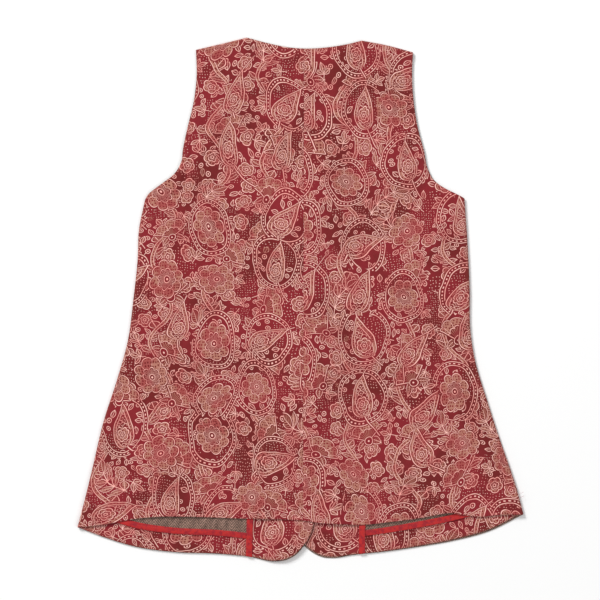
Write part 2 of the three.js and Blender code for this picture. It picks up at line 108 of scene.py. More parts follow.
def of_two(operation, reflected=False):
    """A method that adds a Math node for a wire and one other value."""
    def method(self, other):
        return self.math(operation, *((other, self) if reflected else (self, other)))
    return method


def of_one(operation):
    """A method that adds a Math node for a wire alone."""
    def method(self):
        return self.math(operation, self)
    return method


class Wire:
    """A socket in a material's tree. Python's operators on wires add Math nodes."""

    def __init__(self, tree, socket=None):
        self.tree = tree
        self.socket = socket

    def add(self, kind, settings, inputs, output=0):
        """A new node: its settings, then a number, a colour or a wire for each of its inputs."""
        node = self.tree.nodes.new(kind)
        for name, value in settings.items():
            setattr(node, name, value)
        for name, value in inputs.items():
            if isinstance(value, Wire):
                self.tree.links.new(value.socket, node.inputs[name])
            else:
                node.inputs[name].default_value = value
        return Wire(self.tree, node.outputs[output])

    def out(self, name):
        """Another output of the node that this wire comes from."""
        return Wire(self.tree, self.socket.node.outputs[name])

    def math(self, operation, *values):
        return self.add("ShaderNodeMath", {"operation": operation}, dict(enumerate(values)))

    __add__ = of_two("ADD")
    __radd__ = of_two("ADD", True)
    __sub__ = of_two("SUBTRACT")
    __rsub__ = of_two("SUBTRACT", True)
    __mul__ = of_two("MULTIPLY")
    __rmul__ = of_two("MULTIPLY", True)
    __truediv__ = of_two("DIVIDE")
    __pow__ = of_two("POWER")
    __gt__ = of_two("GREATER_THAN")
    __lt__ = of_two("LESS_THAN")
    __abs__ = of_one("ABSOLUTE")
    high = of_two("MAXIMUM")
    low = of_two("MINIMUM")
    angle = of_two("ARCTAN2")
    sin = of_one("SINE")
    cos = of_one("COSINE")
    floor = of_one("FLOOR")
    fract = of_one("FRACT")
    root = of_one("SQRT")

    def __neg__(self):
        return self * -1.0

    def ramp(self, low, high):
        """0 at the first value, 1 at the second, held past both; they may fall."""
        return self.add("ShaderNodeMapRange", {"interpolation_type": "SMOOTHSTEP"},
                        {"Value": self, "From Min": low, "From Max": high})

    def mix(self, low, high):
        """The first colour where this wire is 0, the second where it is 1."""
        return self.add("ShaderNodeMix", {"data_type": "RGBA"},
                        {"Factor": self, 6: low, 7: high}, 2)

    def parts(self):
        """The three numbers of a vector."""
        split = self.add("ShaderNodeSeparateXYZ", {}, {0: self})
        return split, split.out("Y"), split.out("Z")

    def bands(self):
        """The three numbers of a colour."""
        split = self.add("ShaderNodeSeparateColor", {}, {0: self})
        return split, split.out("Green"), split.out("Blue")

    def join(self, x, y):
        """A vector from two numbers."""
        return self.add("ShaderNodeCombineXYZ", {}, {"X": x, "Y": y})

    def noise(self, size, detail=2.0, rough=0.5):
        """Soft noise on the vector of this wire, with features about a size across."""
        return self.add("ShaderNodeTexNoise", {"noise_dimensions": "2D"},
                        {"Vector": self, "Scale": 1 / size, "Detail": detail, "Roughness": rough})


def cloth_material(name, roughness, sheen, specular):
    """A new material with its shader, and a wire that starts its tree."""
    material = bpy.data.materials.new(name)
    material.use_nodes = True
    shader = material.node_tree.nodes["Principled BSDF"]
    shader.inputs["Roughness"].default_value = roughness
    shader.inputs["Sheen Weight"].default_value = sheen
    shader.inputs["Specular IOR Level"].default_value = specular
    return material, shader, Wire(material.node_tree)


floor_stuff, floor_shader, floor_wire = cloth_material("floor_board", 0.9, 0.0, 0.1)
grain = floor_wire.add("ShaderNodeTexCoord", {}, {}).out("Object").noise(0.4)
board = grain.mix(FLOOR_COLOUR, FLOOR_SHADE)
floor_stuff.node_tree.links.new(board.socket, floor_shader.inputs["Base Color"])
half = FLOOR_SIDE / 2
floor = mesh_object(
    "floor", np.array([[-half, -half, 0], [half, -half, 0], [half, half, 0], [-half, half, 0]]),
    np.array([[0, 1, 2, 3]]), [floor_stuff])


# The two back panels: cut in fitted flared halves from crimson cotton, printed all over in fine pale
# line. They are seamed down the middle, and at the sides and shoulders to the fronts below them.

# The walls' thicknesses and the gap between them; how high the back's underside lies, and how much
# higher over the hem's layers and the lap; the left front's step up over the right one; how far the
# buttons push the cloth up; and the middle of the lap
SHELL = 1.4 * MM
LIGHT = 1.0 * MM
GAP = 0.3 * MM
BODY_LIFT = 3.0 * MM
HEM_LIFT = 1.3 * MM
LAP_LIFT = 2.0 * MM
LAP_STEP = SHELL + LIGHT + 2 * GAP
BUTTON_LIFT = 2.5 * MM
LAP_X = 4.4 * MM
# How far in from a seam a wall turns to meet its neighbour; how deep a free edge and the middle seam
# sag, each with its reach; the slit between the backs; and how far in a seam keeps a sag away
TURN = 2.6 * MM
FREE_SAG = 0.8 * MM
FREE_REACH = 8 * MM
SEAM_SAG = 0.35 * MM
SEAM_SLIT = 0.06 * MM
SEAM_REACH = 4 * MM
SEAM_HOLD = 14 * MM
# The cloth's slow waves, the puckers along the middle seam and beside the edges, and how far in
# from an edge the colour browns, partly as wear from handling and partly as painted edge shade
SLOW_WAVE = 0.09 * MM
SEAM_PUCKER = 0.16 * MM
SEAM_MIDDLE = 4.3
SEAM_DRAWN = 6.0
EDGE_PUCKER = 0.2 * MM
EDGE_DRAWN = 9 * MM
EDGE_WEAR_AND_SHADE_REACH = 2.2 * MM


def curve(rows):
    """A smooth curve through rows of (place, value) in millimetres. A row's slope is that of its two
    neighbours, weighted towards the nearer one, and each stretch is a cubic between two rows."""
    places, values = np.array(rows, float).T * MM
    rise = np.diff(values) / np.diff(places)
    near = (places[1:-1] - places[:-2]) / (places[2:] - places[:-2])
    slopes = np.concatenate([rise[:1], rise[:-1] + (rise[1:] - rise[:-1]) * near, rise[-1:]])

    def value(at):
        k = np.clip(np.searchsorted(places, at, "right") - 1, 0, len(places) - 2)
        span = places[k + 1] - places[k]
        t = (at - places[k]) / span
        bend = slopes[k] * (1 - t) - slopes[k + 1] * t
        flat = t * t * (3 - 2 * t)
        return values[k] + (values[k + 1] - values[k]) * flat + bend * span * t * (1 - t)

    return value


# Outlines, in millimetres: for uprights height then place across, for hems and tops the reverse
left_side = curve([
    (-330.2, -323.4), (-290.4, -312.9), (-246.9, -302.3), (-174.4, -284.9), (-116.4, -266.1),
    (-58.4, -250.1), (0, -242.4), (57.6, -236.2), (101.1, -234.2), (144.6, -225.5)])
right_side = curve([
    (-311.4, 323.4), (-275.9, 313.9), (-246.9, 304.6), (-203.4, 289.3), (-145.4, 270.4),
    (-87.4, 253), (-43.9, 246.4), (14.1, 245.4), (79.4, 242.4), (146.8, 237.8)])
left_armhole = curve([
    (144.6, -225.5), (153.3, -220), (166.4, -203.7), (180.9, -184.6), (199.7, -173),
    (217.1, -170.6), (246.1, -164.6), (289.6, -154.4), (325, -150.6), (361.4, -151.5)])
right_armhole = curve([
    (146.8, 237.8), (151, 230), (159.1, 213.9), (167.1, 200.8), (175.1, 192.1), (185.2, 186.4),
    (217.1, 178.7), (246.1, 170.9), (290, 163.9), (333.1, 161.9), (357.8, 163.1)])
left_shoulder = curve([(-151.5, 361.4), (-115.3, 370.1), (-77.6, 379.5)])
right_shoulder = curve([(89.2, 375.2), (125, 368.2), (163.1, 357.8)])
neck = curve([
    (-77.6, 379.5), (-47.1, 371.6), (-12.3, 365.1), (5.1, 364.1), (39.9, 365.8), (66, 369.8),
    (89.2, 375.2)])
back_hem = curve([
    (-323.4, -330.2), (-282, -325.2), (-247.2, -318.6), (-208.1, -314.7), (-154.4, -314.7),
    (-94.1, -316.9), (-29.7, -318.1), (3.6, -320.1), (28.3, -323.5), (58.7, -325.4),
    (89.2, -326.3), (131.2, -322), (168.2, -317.3), (196.5, -312.3), (213.9, -309.2),
    (238.5, -312.1), (260.3, -314.6), (285, -312.1), (323.4, -311.4)])

# What differs between the wearer's left and right: the sign that leads from the side towards the
# middle, the other side, the hem corner, underarm, shoulder tip and neck point, and the curves
SIDES = {
    "left": {"inward": 1, "far": "right", "corner": (-323.4, -330.2), "underarm": 144.6,
             "tip": (-151.5, 361.4), "neck": -77.6, "side": left_side, "armhole": left_armhole,
             "shoulder": left_shoulder},
    "right": {"inward": -1, "far": "left", "corner": (323.4, -311.4), "underarm": 146.8,
              "tip": (163.1, 357.8), "neck": 89.2, "side": right_side, "armhole": right_armhole,
              "shoulder": right_shoulder},
}

# Soft ridges and troughs of the back. The columns are x, y, the angle from +X along which it runs,
# length, width and height, in degrees and millimetres.
FOLDS = [
    (-188, 106, -52, 60, 15, 0.8), (-150, 40, -68, 90, 22, 0.7), (-214, -60, 66, 70, 16, 0.6),
    (-90, -90, 82, 120, 26, 0.6), (198, 104, -126, 66, 16, 0.8), (150, 30, -108, 80, 20, 0.6),
    (220, -70, -70, 70, 16, 0.7), (90, -120, 96, 130, 28, 0.7), (-112, 300, 75, 60, 16, 0.6),
    (118, 292, -78, 64, 18, 0.6), (-268, -285, 72, 80, 17, 0.9), (-182, -292, 84, 105, 24, 1.3),
    (-60, -300, 93, 80, 22, 0.6), (128, -296, 99, 95, 22, 0.8), (212, -290, 105, 90, 20, 1.5),
    (290, -280, 110, 60, 15, 0.7), (-170, 212, 82, 28, 8, 0.8), (-158, 206, 82, 30, 8, -0.7),
    (-177, 154, 32, 13, 4.5, -0.8), (-155, 172, 70, 24, 9, 0.6),
]
# Finer creases, in the same columns: at the underarms, the waist and the hem, and one pinched below
# the left armhole
CREASES = [
    (-196, 128, -38, 34, 6, 0.5), (-205, 92, -58, 38, 6, -0.5), (-183, 70, -62, 42, 8, 0.5),
    (-167, 178, 86, 15, 2.8, -1.1), (-172, 180, 84, 15, 4, 0.9), (212, 122, -140, 34, 6, 0.5),
    (206, 84, -122, 40, 7, -0.5), (186, 60, -116, 44, 8, 0.45), (-232, -20, 12, 26, 4.5, -0.4),
    (-222, 14, -8, 30, 5, 0.45), (-214, -96, -44, 46, 9, 0.6), (-232, -128, -42, 44, 8, -0.5),
    (-226, -166, -40, 52, 10, 0.6), (226, -14, -10, 28, 5, -0.4), (214, 22, 9, 30, 5, 0.4),
    (196, -150, 58, 60, 10, 0.6), (232, -196, 62, 50, 9, -0.5), (262, -238, 66, 46, 9, 0.6),
    (-140, 226, 60, 36, 7, 0.4), (146, 214, -64, 36, 7, 0.4), (-60, 330, 30, 40, 9, 0.35),
    (84, 322, -24, 42, 9, 0.35), (-230, -300, 78, 30, 6, -0.5), (-140, -300, 88, 34, 7, -0.45),
    (-104, -262, 76, 52, 8, 0.5), (172, -298, 100, 32, 6, -0.5), (150, -240, 104, 56, 9, 0.5),
    (250, -280, 104, 24, 7, -0.25),
]


def step(low, high, at):
    """0 before the first place, 1 after the second, and a smooth step between them."""
    share = np.clip((at - low) / (high - low), 0, 1)
    return share * share * (3 - 2 * share)


def mounds(rows, x, y):
    """The sum of the rows' long low mounds: each falls away as a bell curve along and across."""
    total = np.zeros_like(x)
    for middle_x, middle_y, degrees, length, width, height in rows:
        angle = math.radians(degrees)
        dx, dy = x - middle_x * MM, y - middle_y * MM
        along = (dx * math.cos(angle) + dy * math.sin(angle)) / (length * MM)
        across = (dy * math.cos(angle) - dx * math.sin(angle)) / (width * MM)
        total += height * MM * np.exp(-along**2 - across**2)
    return total


# Where each rise of the cloth begins and ends, across the garment and up it. BUTTON_ACROSS alone is
# measured from the middle of the lap.
BUTTON_ACROSS = (13 * MM, 46 * MM)
BUTTON_LOW = (-250 * MM, -200 * MM)
BUTTON_HIGH = (148 * MM, 216 * MM)
LAP_ACROSS = (-66 * MM, -16 * MM)
LAP_HIGH = (200 * MM, 270 * MM)
OVER_LAP_LEFT = (-78 * MM, -22 * MM)
OVER_LAP_RIGHT = (27 * MM, 84 * MM)
OVER_LAP_HIGH = (200 * MM, 290 * MM)
OVER_HEM = (-285 * MM, -200 * MM)


def button_rise(x, y):
    """How far the buttons beneath push the fronts up, in a strip along the lap."""
    across = 1 - step(*BUTTON_ACROSS, abs(x - LAP_X))
    return BUTTON_LIFT * across * step(*BUTTON_LOW, y) * (1 - step(*BUTTON_HIGH, y))


def lap_rise(x, y):
    """How far the left front steps up to lie over the right one."""
    return LAP_STEP * step(*LAP_ACROSS, x) * (1 - step(*LAP_HIGH, y))


def back_z(x, y):
    """The middle of the back's wall: over what lies beneath, with its folds."""
    hem = HEM_LIFT * (1 - step(*OVER_HEM, y))
    lap = step(*OVER_LAP_LEFT, x) * (1 - step(*OVER_LAP_RIGHT, x)) * (1 - step(*OVER_LAP_HIGH, y))
    return BODY_LIFT + hem + LAP_LIFT * lap + button_rise(x, y) + SHELL / 2 + mounds(FOLDS, x, y)


def uneven(x, y):
    """What the hand finds on smooth cloth: the fine creases, a slow unevenness as the sum of three
    slanting waves, and a pucker along the middle seam that comes and goes. Waves are in mm."""
    a, b = x / MM, y / MM
    slow = (np.sin(a / 7.1 + b / 15.5) + np.sin(b / 8.3 - a / 14.9 + 1.9)
            + np.sin(a / 11.2 + 2.2 * np.sin(b / 41)))
    drawn = np.sin(b / 1.55 + 1.6 * np.sin(b / 9.3)) * (0.6 + 0.4 * np.sin(b / 27))
    seam = np.exp(-((a - SEAM_MIDDLE) / SEAM_DRAWN) ** 2)
    return mounds(CREASES, x, y) + SLOW_WAVE * slow + SEAM_PUCKER * drawn * seam


def turn_height(x, y):
    """Half the way from the front's middle to the back's, less half the gap between them."""
    return (back_z(x, y) - SHELL / 2 - GAP) / 2


def upright(place, low, high):
    """An edge that runs up from one height to another, at a place across for each height."""
    def edge(share):
        y = low + (high - low) * share
        return np.stack([place(y), y], -1)
    return edge


def level(height, start, end):
    """An edge that runs across from one place to another, at a height for each place."""
    def edge(share):
        x = start + (end - start) * share
        return np.stack([x, height(x)], -1)
    return edge


def patch(edges, columns, rows):
    """The plan of a four-sided patch, as a grid. Columns of a row are distances from its left edge.
    Each point is between the bottom and top edges, moved so that the side edges are met too.
    Also gives each point's distance to the four edges."""
    v = (rows / rows[-1])[:, None]
    left, right = edges["left"](v[:, 0])[:, None], edges["right"](v[:, 0])[:, None]
    wide = right[..., 0] - left[..., 0]
    across = columns(wide)
    u = across / wide

    def column(share):
        bottom, top = edges["bottom"](share), edges["top"](share)
        return bottom + (top - bottom) * v[..., None]

    start, end = column(np.zeros((len(rows), 1))), column(np.ones((len(rows), 1)))
    plan = column(u) + (1 - u)[..., None] * (left - start) + u[..., None] * (right - end)
    up = np.broadcast_to(rows[:, None], u.shape)
    return plan, {"left": across, "right": wide - across, "bottom": up, "top": rows[-1] - up}


def stations(*stretches):
    """Places from zero: each (end, count) is a stretch to its end, cut into even steps."""
    places = [np.zeros(1)]
    for end, count in stretches:
        places.append(np.linspace(places[-1][-1], end, count + 1)[1:])
    return np.concatenate(places)


# How far in from an edge its mesh lines lie: at even angles round a seam's turn, and close together
# in a free edge's rim
TURN_PLACES = TURN * (1 - np.sin(np.radians([90, 72, 54, 36, 18, 0])))
RIM_PLACES = np.array([0, 0.12, 0.35, 0.8, 2.0]) * MM


def spread(wide, start, count, end):
    """Distances across rows of these widths: set ones at both ends, even ones between them."""
    start_row = np.broadcast_to(start, (len(wide), len(start)))
    end_row = wide - np.asarray(end)[::-1]
    share = np.linspace(0, 1, count + 1)[1:-1]
    inside = start_row[:, -1:] + (end_row[:, :1] - start_row[:, -1:]) * share
    return np.concatenate([start_row, inside, end_row], 1)


def cloth_wall(name, materials, edges, columns, rows, height, thick, rims, shift, grain,
               seams=None, sags=None, way=1, wear_and_painted_shade=None, relief=None):
    """A cloth wall over a patch: two skins half a thickness each side of the middle surface, along
    its normals, joined round the edge. The upper skin takes the first material and the lower one
    the second. At the rims the two skins close in a round edge. shift and grain place the panel on
    the cloth that it is cut from. seams gives how much of each seam holds: there the middle follows
    a quarter of an ellipse up or down (way) to meet its neighbour. sags gives how deep an edge sags
    where no seam holds it, and how far in. Near the given sides, or else the rims, the colour browns,
    partly as wear from handling and partly as painted edge shade. relief is a fine unevenness, which
    fades out at the edges, with puckers beside them."""
    seams, sags = seams or {}, sags or {}
    plan, away = patch(edges, columns, rows)
    x, y = plan[..., 0], plan[..., 1]
    turn, held, sag, round_rim = (np.zeros_like(x) for _ in range(4))
    round_rim += 1
    share = {side: seams[side](x, y) if side in seams else 0 * x for side in away}
    for side, distance in away.items():
        inner = np.clip(1 - distance / TURN, 0, 1)
        turn = np.maximum(turn, share[side] * (1 - np.sqrt(1 - inner**2)))
        held = np.maximum(held, share[side] * (1 - step(TURN, SEAM_HOLD, distance)))
        deep, reach = sags.get(side, (0, 1))
        sag += deep * (1 - step(0, reach, distance))
        if side in rims:
            close = np.sqrt(1 - np.clip(1 - distance / (0.7 * thick), 0, 0.97) ** 2)
            round_rim = np.minimum(round_rim, share[side] + (1 - share[side]) * close)
    nearest = np.minimum.reduce(list(away.values()))
    z = height(x, y) - sag * (1 - held) + way * turn * turn_height(x, y)
    if relief:
        beside = step(1 * MM, 6 * MM, nearest)
        drawn = np.sin((x + y) / 0.0019 + 1.8 * np.sin((y - x) / 0.017))
        z = z + beside * (relief(x, y) + EDGE_PUCKER * drawn * np.exp(-(nearest / EDGE_DRAWN) ** 2))
    middle = np.dstack([x, y, z])

    across, up = np.gradient(middle, axis=1), np.gradient(middle, axis=0)
    normal = np.cross(across, up)
    normal /= np.linalg.norm(normal, axis=2, keepdims=True)
    # Where a seam holds, the wall ends upright: its upper skin faces out if it turned down, or else in
    for side, (where, out) in {
        "left": (np.s_[:, 0], -np.dstack([up[..., 1], -up[..., 0]])),
        "right": (np.s_[:, -1], np.dstack([up[..., 1], -up[..., 0]])),
        "top": (np.s_[-1, :], np.dstack([-across[..., 1], across[..., 0]])),
    }.items():
        if side not in seams:
            continue
        outwards = np.dstack([out, 0 * x])[where]
        outwards /= np.linalg.norm(outwards, axis=-1, keepdims=True)
        part = share[side][where][:, None]
        turned = normal[where] * (1 - part) - way * part * outwards
        normal[where] = turned / np.linalg.norm(turned, axis=-1, keepdims=True)

    offset = normal * (round_rim * thick / 2)[..., None]
    points = np.concatenate([(middle + offset).reshape(-1, 3), (middle - offset).reshape(-1, 3)])
    upper = np.arange(x.size).reshape(x.shape)
    lower = upper + x.size

    def quads(a, b, c, d):
        return np.stack([a, b, c, d], -1).reshape(-1, 4)

    top_faces = quads(upper[:-1, :-1], upper[:-1, 1:], upper[1:, 1:], upper[1:, :-1])
    low_faces = quads(lower[:-1, :-1], lower[1:, :-1], lower[1:, 1:], lower[:-1, 1:])
    rim_faces = np.concatenate([
        quads(upper[:-1, 0], upper[1:, 0], lower[1:, 0], lower[:-1, 0]),
        quads(upper[:-1, -1], lower[:-1, -1], lower[1:, -1], upper[1:, -1]),
        quads(upper[0, :-1], lower[0, :-1], lower[0, 1:], upper[0, 1:]),
        quads(upper[-1, :-1], upper[-1, 1:], lower[-1, 1:], lower[-1, :-1]),
    ])
    faces = np.concatenate([top_faces, low_faces, rim_faces])
    # The rim shows the outer cloth, which is a back's upper skin and a front's lower one
    kinds = np.zeros(len(faces), np.int32)
    kinds[len(top_faces):len(top_faces) + len(low_faces)] = 1
    kinds[len(top_faces) + len(low_faces):] = 0 if way < 0 or len(materials) == 1 else 1
    flat = np.stack([x * math.cos(grain) - y * math.sin(grain) + shift[0],
                     x * math.sin(grain) + y * math.cos(grain) + shift[1]], -1).reshape(-1, 2)
    # How near each point is to the browned sides: partly wear from handling, partly painted edge shade
    outside = np.minimum.reduce([away[side] for side in wear_and_painted_shade or rims])
    wear_and_edge_shade = np.tile(np.exp(-outside / EDGE_WEAR_AND_SHADE_REACH).ravel(), 2)
    return mesh_object(name, points, faces, materials, np.minimum(kinds, len(materials) - 1),
                       np.concatenate([flat, flat]), wear_and_edge_shade)


# The print, in millimetres of cloth: half the width of a line, how soft its edges are, and the bare
# margin that parts a motif from what it is drawn over. Ink runs from 0 to 1, and TAN_INK is a fill's.
HALF_LINE = 0.5
SOFT_EDGE = 0.25
BARE_MARGIN = 2.0
TAN_INK = 0.62


def inside(depth, margin=0.0):
    """1 where a depth within an outline is over minus the margin, 0 outside, with a soft edge."""
    return depth.ramp(-margin - SOFT_EDGE, SOFT_EDGE - margin)


def line(depth, half=HALF_LINE):
    """1 along an outline, where the depth is near zero."""
    return abs(depth).ramp(half + SOFT_EDGE, half - SOFT_EDGE)


def any_of(first, *more):
    """The most ink that any of these prints."""
    for wire in more:
        first = first.high(wire)
    return first


def over(below, cover, ink):
    """What is printed where a motif covers a part of what lies below it."""
    return below + (ink - below) * cover


def laid(below, motif, where):
    """What is printed once a motif, given as its cover and its ink, is laid on where it is 1."""
    cover, ink = motif
    return over(below, cover * where, ink)


def turned(x, y, angle):
    """The same point in axes that are turned by an angle."""
    c, s = angle.cos(), angle.sin()
    return x * c + y * s, y * c - x * s


def scatter(x, y, size, tall, loose, shift):
    """Scattered centres about a size apart, tall times that up the cloth. Gives the way from a
    point's own centre, and two random numbers for the cell."""
    place = x.join(x / size + shift[0], y / (size * tall) + shift[1])
    own = place.add("ShaderNodeTexVoronoi", {"voronoi_dimensions": "2D"},
                    {"Vector": place, "Scale": 1.0, "Randomness": loose})
    centre_x, centre_y, _ = own.out("Position").parts()
    chance, spin, _ = own.out("Color").bands()
    return ((x / size + shift[0] - centre_x) * size,
            (y / (size * tall) + shift[1] - centre_y) * (size * tall), chance, spin)


def rosette(x, y, petals, radius, net):
    """An open flower: stippled round petals, a ribbed row turned by half a petal, and a ringed eye.
    Each edge swings between two radii once a petal."""
    r = (x * x + y * y).root()
    beat = y.angle(x) * (petals / 2)
    swing = abs(beat.cos())
    outer = swing ** 0.5 * (0.3 * radius) + 0.7 * radius - r
    inner = abs(beat.sin()) ** 0.5 * (0.2 * radius) + 0.34 * radius - r
    ribs = (beat * 8).cos().ramp(0.0, 0.6) * inside(inner, -1.6) * 0.8
    petal = any_of(line(swing * r * (2 / petals), 0.35), net)
    ink = any_of(line(outer, 0.6), petal * inside(outer, -1.2))
    ink = over(ink, inside(inner, 1.1), any_of(line(inner), ribs))
    eye = 0.17 * radius - r
    ink = over(ink, inside(eye, 0.4), any_of(line(eye), inside(eye, -2.6)))
    return inside(outer, BARE_MARGIN), ink


def leaf(a, b, length, half, fill):
    """A pointed leaf that lies along a: its half width swells and falls as half a wave."""
    t = (a / length).low(1.0).high(0.0)
    depth = (t * math.pi).sin() * half - abs(b)
    along = inside(a, 0.5) * inside(length - a, 0.5)
    ink = any_of(line(depth, 0.5), inside(depth, -1.5) * fill, line(b, 0.35) * inside(depth))
    return inside(depth, BARE_MARGIN * 0.7) * along, ink * along


def sprig(x, y, length, fill):
    """Three leaves on a short stem: one upright, and one to each side that leans outwards."""
    side = abs(x)
    c, s = math.cos(math.radians(58)), math.sin(math.radians(58))
    cover, ink = leaf(side * s + y * c, y * s - side * c, length, length * 0.26, fill)
    top_cover, top_ink = leaf(y - length * 0.12, x, length * 1.15, length * 0.28, fill)
    stem = line(x, 0.5) * inside(-y) * inside(y, length * 0.8)
    ink = over(any_of(ink, stem), top_cover, top_ink)
    return any_of(cover, top_cover, stem), ink


def veins(a, b, pitch):
    """Slanting side veins of a leaf, at an even pitch."""
    return ((a - abs(b) * 0.9) * (2 * math.pi / pitch)).sin().ramp(-0.1, 0.5) * TAN_INK


def spray(x, y, radius, net):
    """A curved stem with a pair of leaves at each even pitch, and a bud at its end."""
    pitch = radius * 0.44
    curl = x - y * y * (0.3 / radius)
    up = y + radius
    low = (up / pitch).fract() * pitch - pitch * 0.2
    side = abs(curl)
    c, s = math.cos(math.radians(38)), math.sin(math.radians(38))
    a, b = side * c + low * s - 0.6, low * c - side * s
    cover, ink = leaf(a, b, pitch * 1.3, pitch * 0.32, net)
    body = inside(radius * 0.72 - y) * inside(up)
    a, b = y - radius * 0.46, curl
    bud_cover, bud_ink = leaf(a, b, radius * 0.66, radius * 0.22, veins(a, b, 3.1))
    ink = over(any_of(ink, line(curl, 0.6)) * body, bud_cover, bud_ink)
    return any_of(cover * body, bud_cover, inside(1.5 - side) * body), ink


def fan(x, y, radius, net):
    """A flower from the side: a fan of stippled petals with a notched edge and a ribbed lower tier,
    on a ringed cup, over a stem with a leaf on each side."""
    up = y + 0.35 * radius
    r = (x * x + up * up).root()
    beat = x.angle(up)
    notch = abs((beat * 5.5).cos()) ** 0.6
    depth = ((notch * 0.16 + 1.12) * radius - r).low((1.05 - abs(beat)) * r)
    tier = ((notch * 0.12 + 0.62) * radius - r).low(depth)
    ribs = (beat * 33).cos().ramp(0.0, 0.5) * inside(tier, -1.6) * TAN_INK
    petal = any_of(line((beat * 5.5).cos() * r * 0.18, 0.35), net)
    ink = any_of(line(depth), petal * inside(depth, -1.2))
    ink = over(ink, inside(tier, 0.6), any_of(line(tier), ribs))
    cup = 0.24 * radius - r
    ink = over(ink, inside(cup, 0.9), any_of(line(cup), inside(cup, -4.2)))
    a, b = abs(x) * 0.8 - up * 0.6, -up * 0.8 - abs(x) * 0.6 + 4
    leaf_cover, leaf_ink = leaf(a, b, radius * 0.85, radius * 0.2, veins(a, b, 3.1))
    stem = line(x, 0.6) * inside(-up) * inside(up, radius * 0.6)
    cover = any_of(inside(depth, BARE_MARGIN), inside(cup, BARE_MARGIN))
    return any_of(cover, leaf_cover, stem), over(any_of(leaf_ink, stem), cover, ink)


def scales(x, y, size):
    """Overlapping scallops: rows of arcs, each row moved half a scallop, with a bead in each."""
    row = (y / (size * 0.5)).floor()
    across = ((x / size + (row * 0.5).fract()).fract() - 0.5) * size
    up = y - row * (size * 0.5)
    r = (across * across + up * up).root()
    return any_of(line(size * 0.46 - r, 0.45), inside(size * 0.15 - r)) * 0.85


def drop(x, y, radius, net):
    """A curled drop: a bent axis, and a half width that swells low and runs out to the tip. A beaded
    band runs inside its edge, scales fill it, and a small flower sits in its belly."""
    bent = x - (y + radius) * (y + radius) * (0.2 / radius) + 0.26 * radius
    t = ((y + radius) / (2 * radius)).high(0.0).low(1.0)
    depth = t.root() * (1 - t) * (1.42 * radius) - abs(bent)
    band = net * inside(depth, -1.3) * inside(3.9 - depth)
    scaled = scales(bent, y, 8.0) * inside(depth, -5.6)
    ink = any_of(line(depth, 0.65), line(depth - 4.6, 0.5), band, scaled)
    bloom_cover, bloom_ink = rosette(bent, y + 0.32 * radius, 6, radius * 0.33, net)
    return inside(depth, BARE_MARGIN), over(ink, bloom_cover, bloom_ink)


def vine(x, y, net):
    """Serpentine banded stems that climb the cloth side by side, each out of step with the next,
    with a veined leaf on each side in turn."""
    pitch, wave, swing, rung = 76.0, 120.0, 15.0, 20.0
    column = (x / pitch).floor()
    beat = y * (2 * math.pi / wave) + column * 2.4
    away = (x - (column + 0.5) * pitch - beat.sin() * swing) * (1 - beat.cos() ** 2.0 * 0.2)
    depth = 2.2 - abs(away)
    step_up = (y / rung).floor()
    side = (step_up * 0.5).fract() * 4 - 1
    low = y - step_up * rung - 4
    a, b = away * side * 0.76 + low * 0.65 - 1, low * 0.76 - away * side * 0.65
    cover, ink = leaf(a, b, 17.0, 4.6, veins(a, b, 3.3))
    return (any_of(cover, inside(depth, 1.3)),
            over(ink, inside(depth, 1.3), any_of(line(depth, 0.5), net * inside(depth))))


def print_ink(x, y):
    """The whole print's ink, from 0 on bare ground to 1 on a line. From the bottom up: leaflets and
    rings, small flowers and twigs, climbing vines, sprays and side-on flowers, and beaded ovals that
    hold open flowers and curled drops."""
    bend = x.join(x, y).noise(78.0, 3.0, 0.38).out("Color")
    bend_x, bend_y, _ = bend.bands()
    x, y = x + (bend_x - 0.5) * 24, y + (bend_y - 0.5) * 24
    speck = x.join(x, y).add("ShaderNodeTexVoronoi", {"voronoi_dimensions": "2D"},
                             {"Vector": x.join(x, y), "Scale": 1 / 3.7, "Randomness": 0.45})
    net = speck.ramp(0.24, 0.36) * (TAN_INK + 0.04)
    dots = speck.ramp(0.2, 0.12) * 0.9

    own_x, own_y, chance, spin = scatter(x, y, 12.0, 1.0, 0.7, (3.1, 8.4))
    a, b = turned(own_x, own_y, spin * 6.3)
    leaflet = leaf(a + 5.6, b, 11.2, 2.9, 0.0)[1]
    r = (own_x * own_x + own_y * own_y).root()
    ring = any_of(line(2.9 - r, 0.5), inside(1.0 - r))
    small_ink = leaflet + (ring - leaflet) * (chance < 0.45)
    crowded = x.join(x - own_x, y - own_y).noise(52.0, 1.0).ramp(0.45, 0.46)
    small_ink = over(dots, crowded, small_ink)

    own_x, own_y, chance, spin = scatter(x, y, 28.0, 1.0, 0.6, (5.3, 1.7))
    a, b = turned(own_x, own_y, spin * 6.3)
    ink = laid(small_ink, rosette(a, b, 5, 10.5, net), chance > 0.5)
    ink = laid(ink, sprig(a, b + 3.0, 12.0, net), chance < 0.5)

    cover, motif = vine(x, y, net)
    ink = over(ink, cover, motif)

    own_x, own_y, chance, spin = scatter(x, y, 70.0, 1.05, 0.6, (1.2, 6.6))
    a, b = turned(own_x, own_y, (spin - 0.5) * 2.2)
    ink = laid(ink, spray(a, b, 31.0, net), chance < 0.42)
    ink = laid(ink, fan(a, b, 23.0, net), chance > 0.42)

    own_x, own_y, chance, spin = scatter(x, y, 76.0, 1.1, 0.6, (4.7, 2.9))
    depth = spin * 5.0 + 31.0 - (own_x * own_x + own_y * own_y * 0.7).root()
    beads = (own_y.angle(own_x) * 40).sin().ramp(-0.15, 0.35)
    oval = any_of(line(depth, 0.5), line(depth - 5.2, 0.5), line(depth - 2.6, 0.7) * beads)
    framed = (chance * 9.0).fract() > 0.4
    ink = over(ink, inside(depth, 1.4) * framed, over(small_ink, inside(6.6 - depth), oval))
    a, b = turned(own_x, own_y, (spin - 0.5) * 1.6)
    ink = laid(ink, rosette(a, b, 8, 24.0, net), chance < 0.5)
    return laid(ink, drop(a, b, 28.0, net), chance > 0.5)


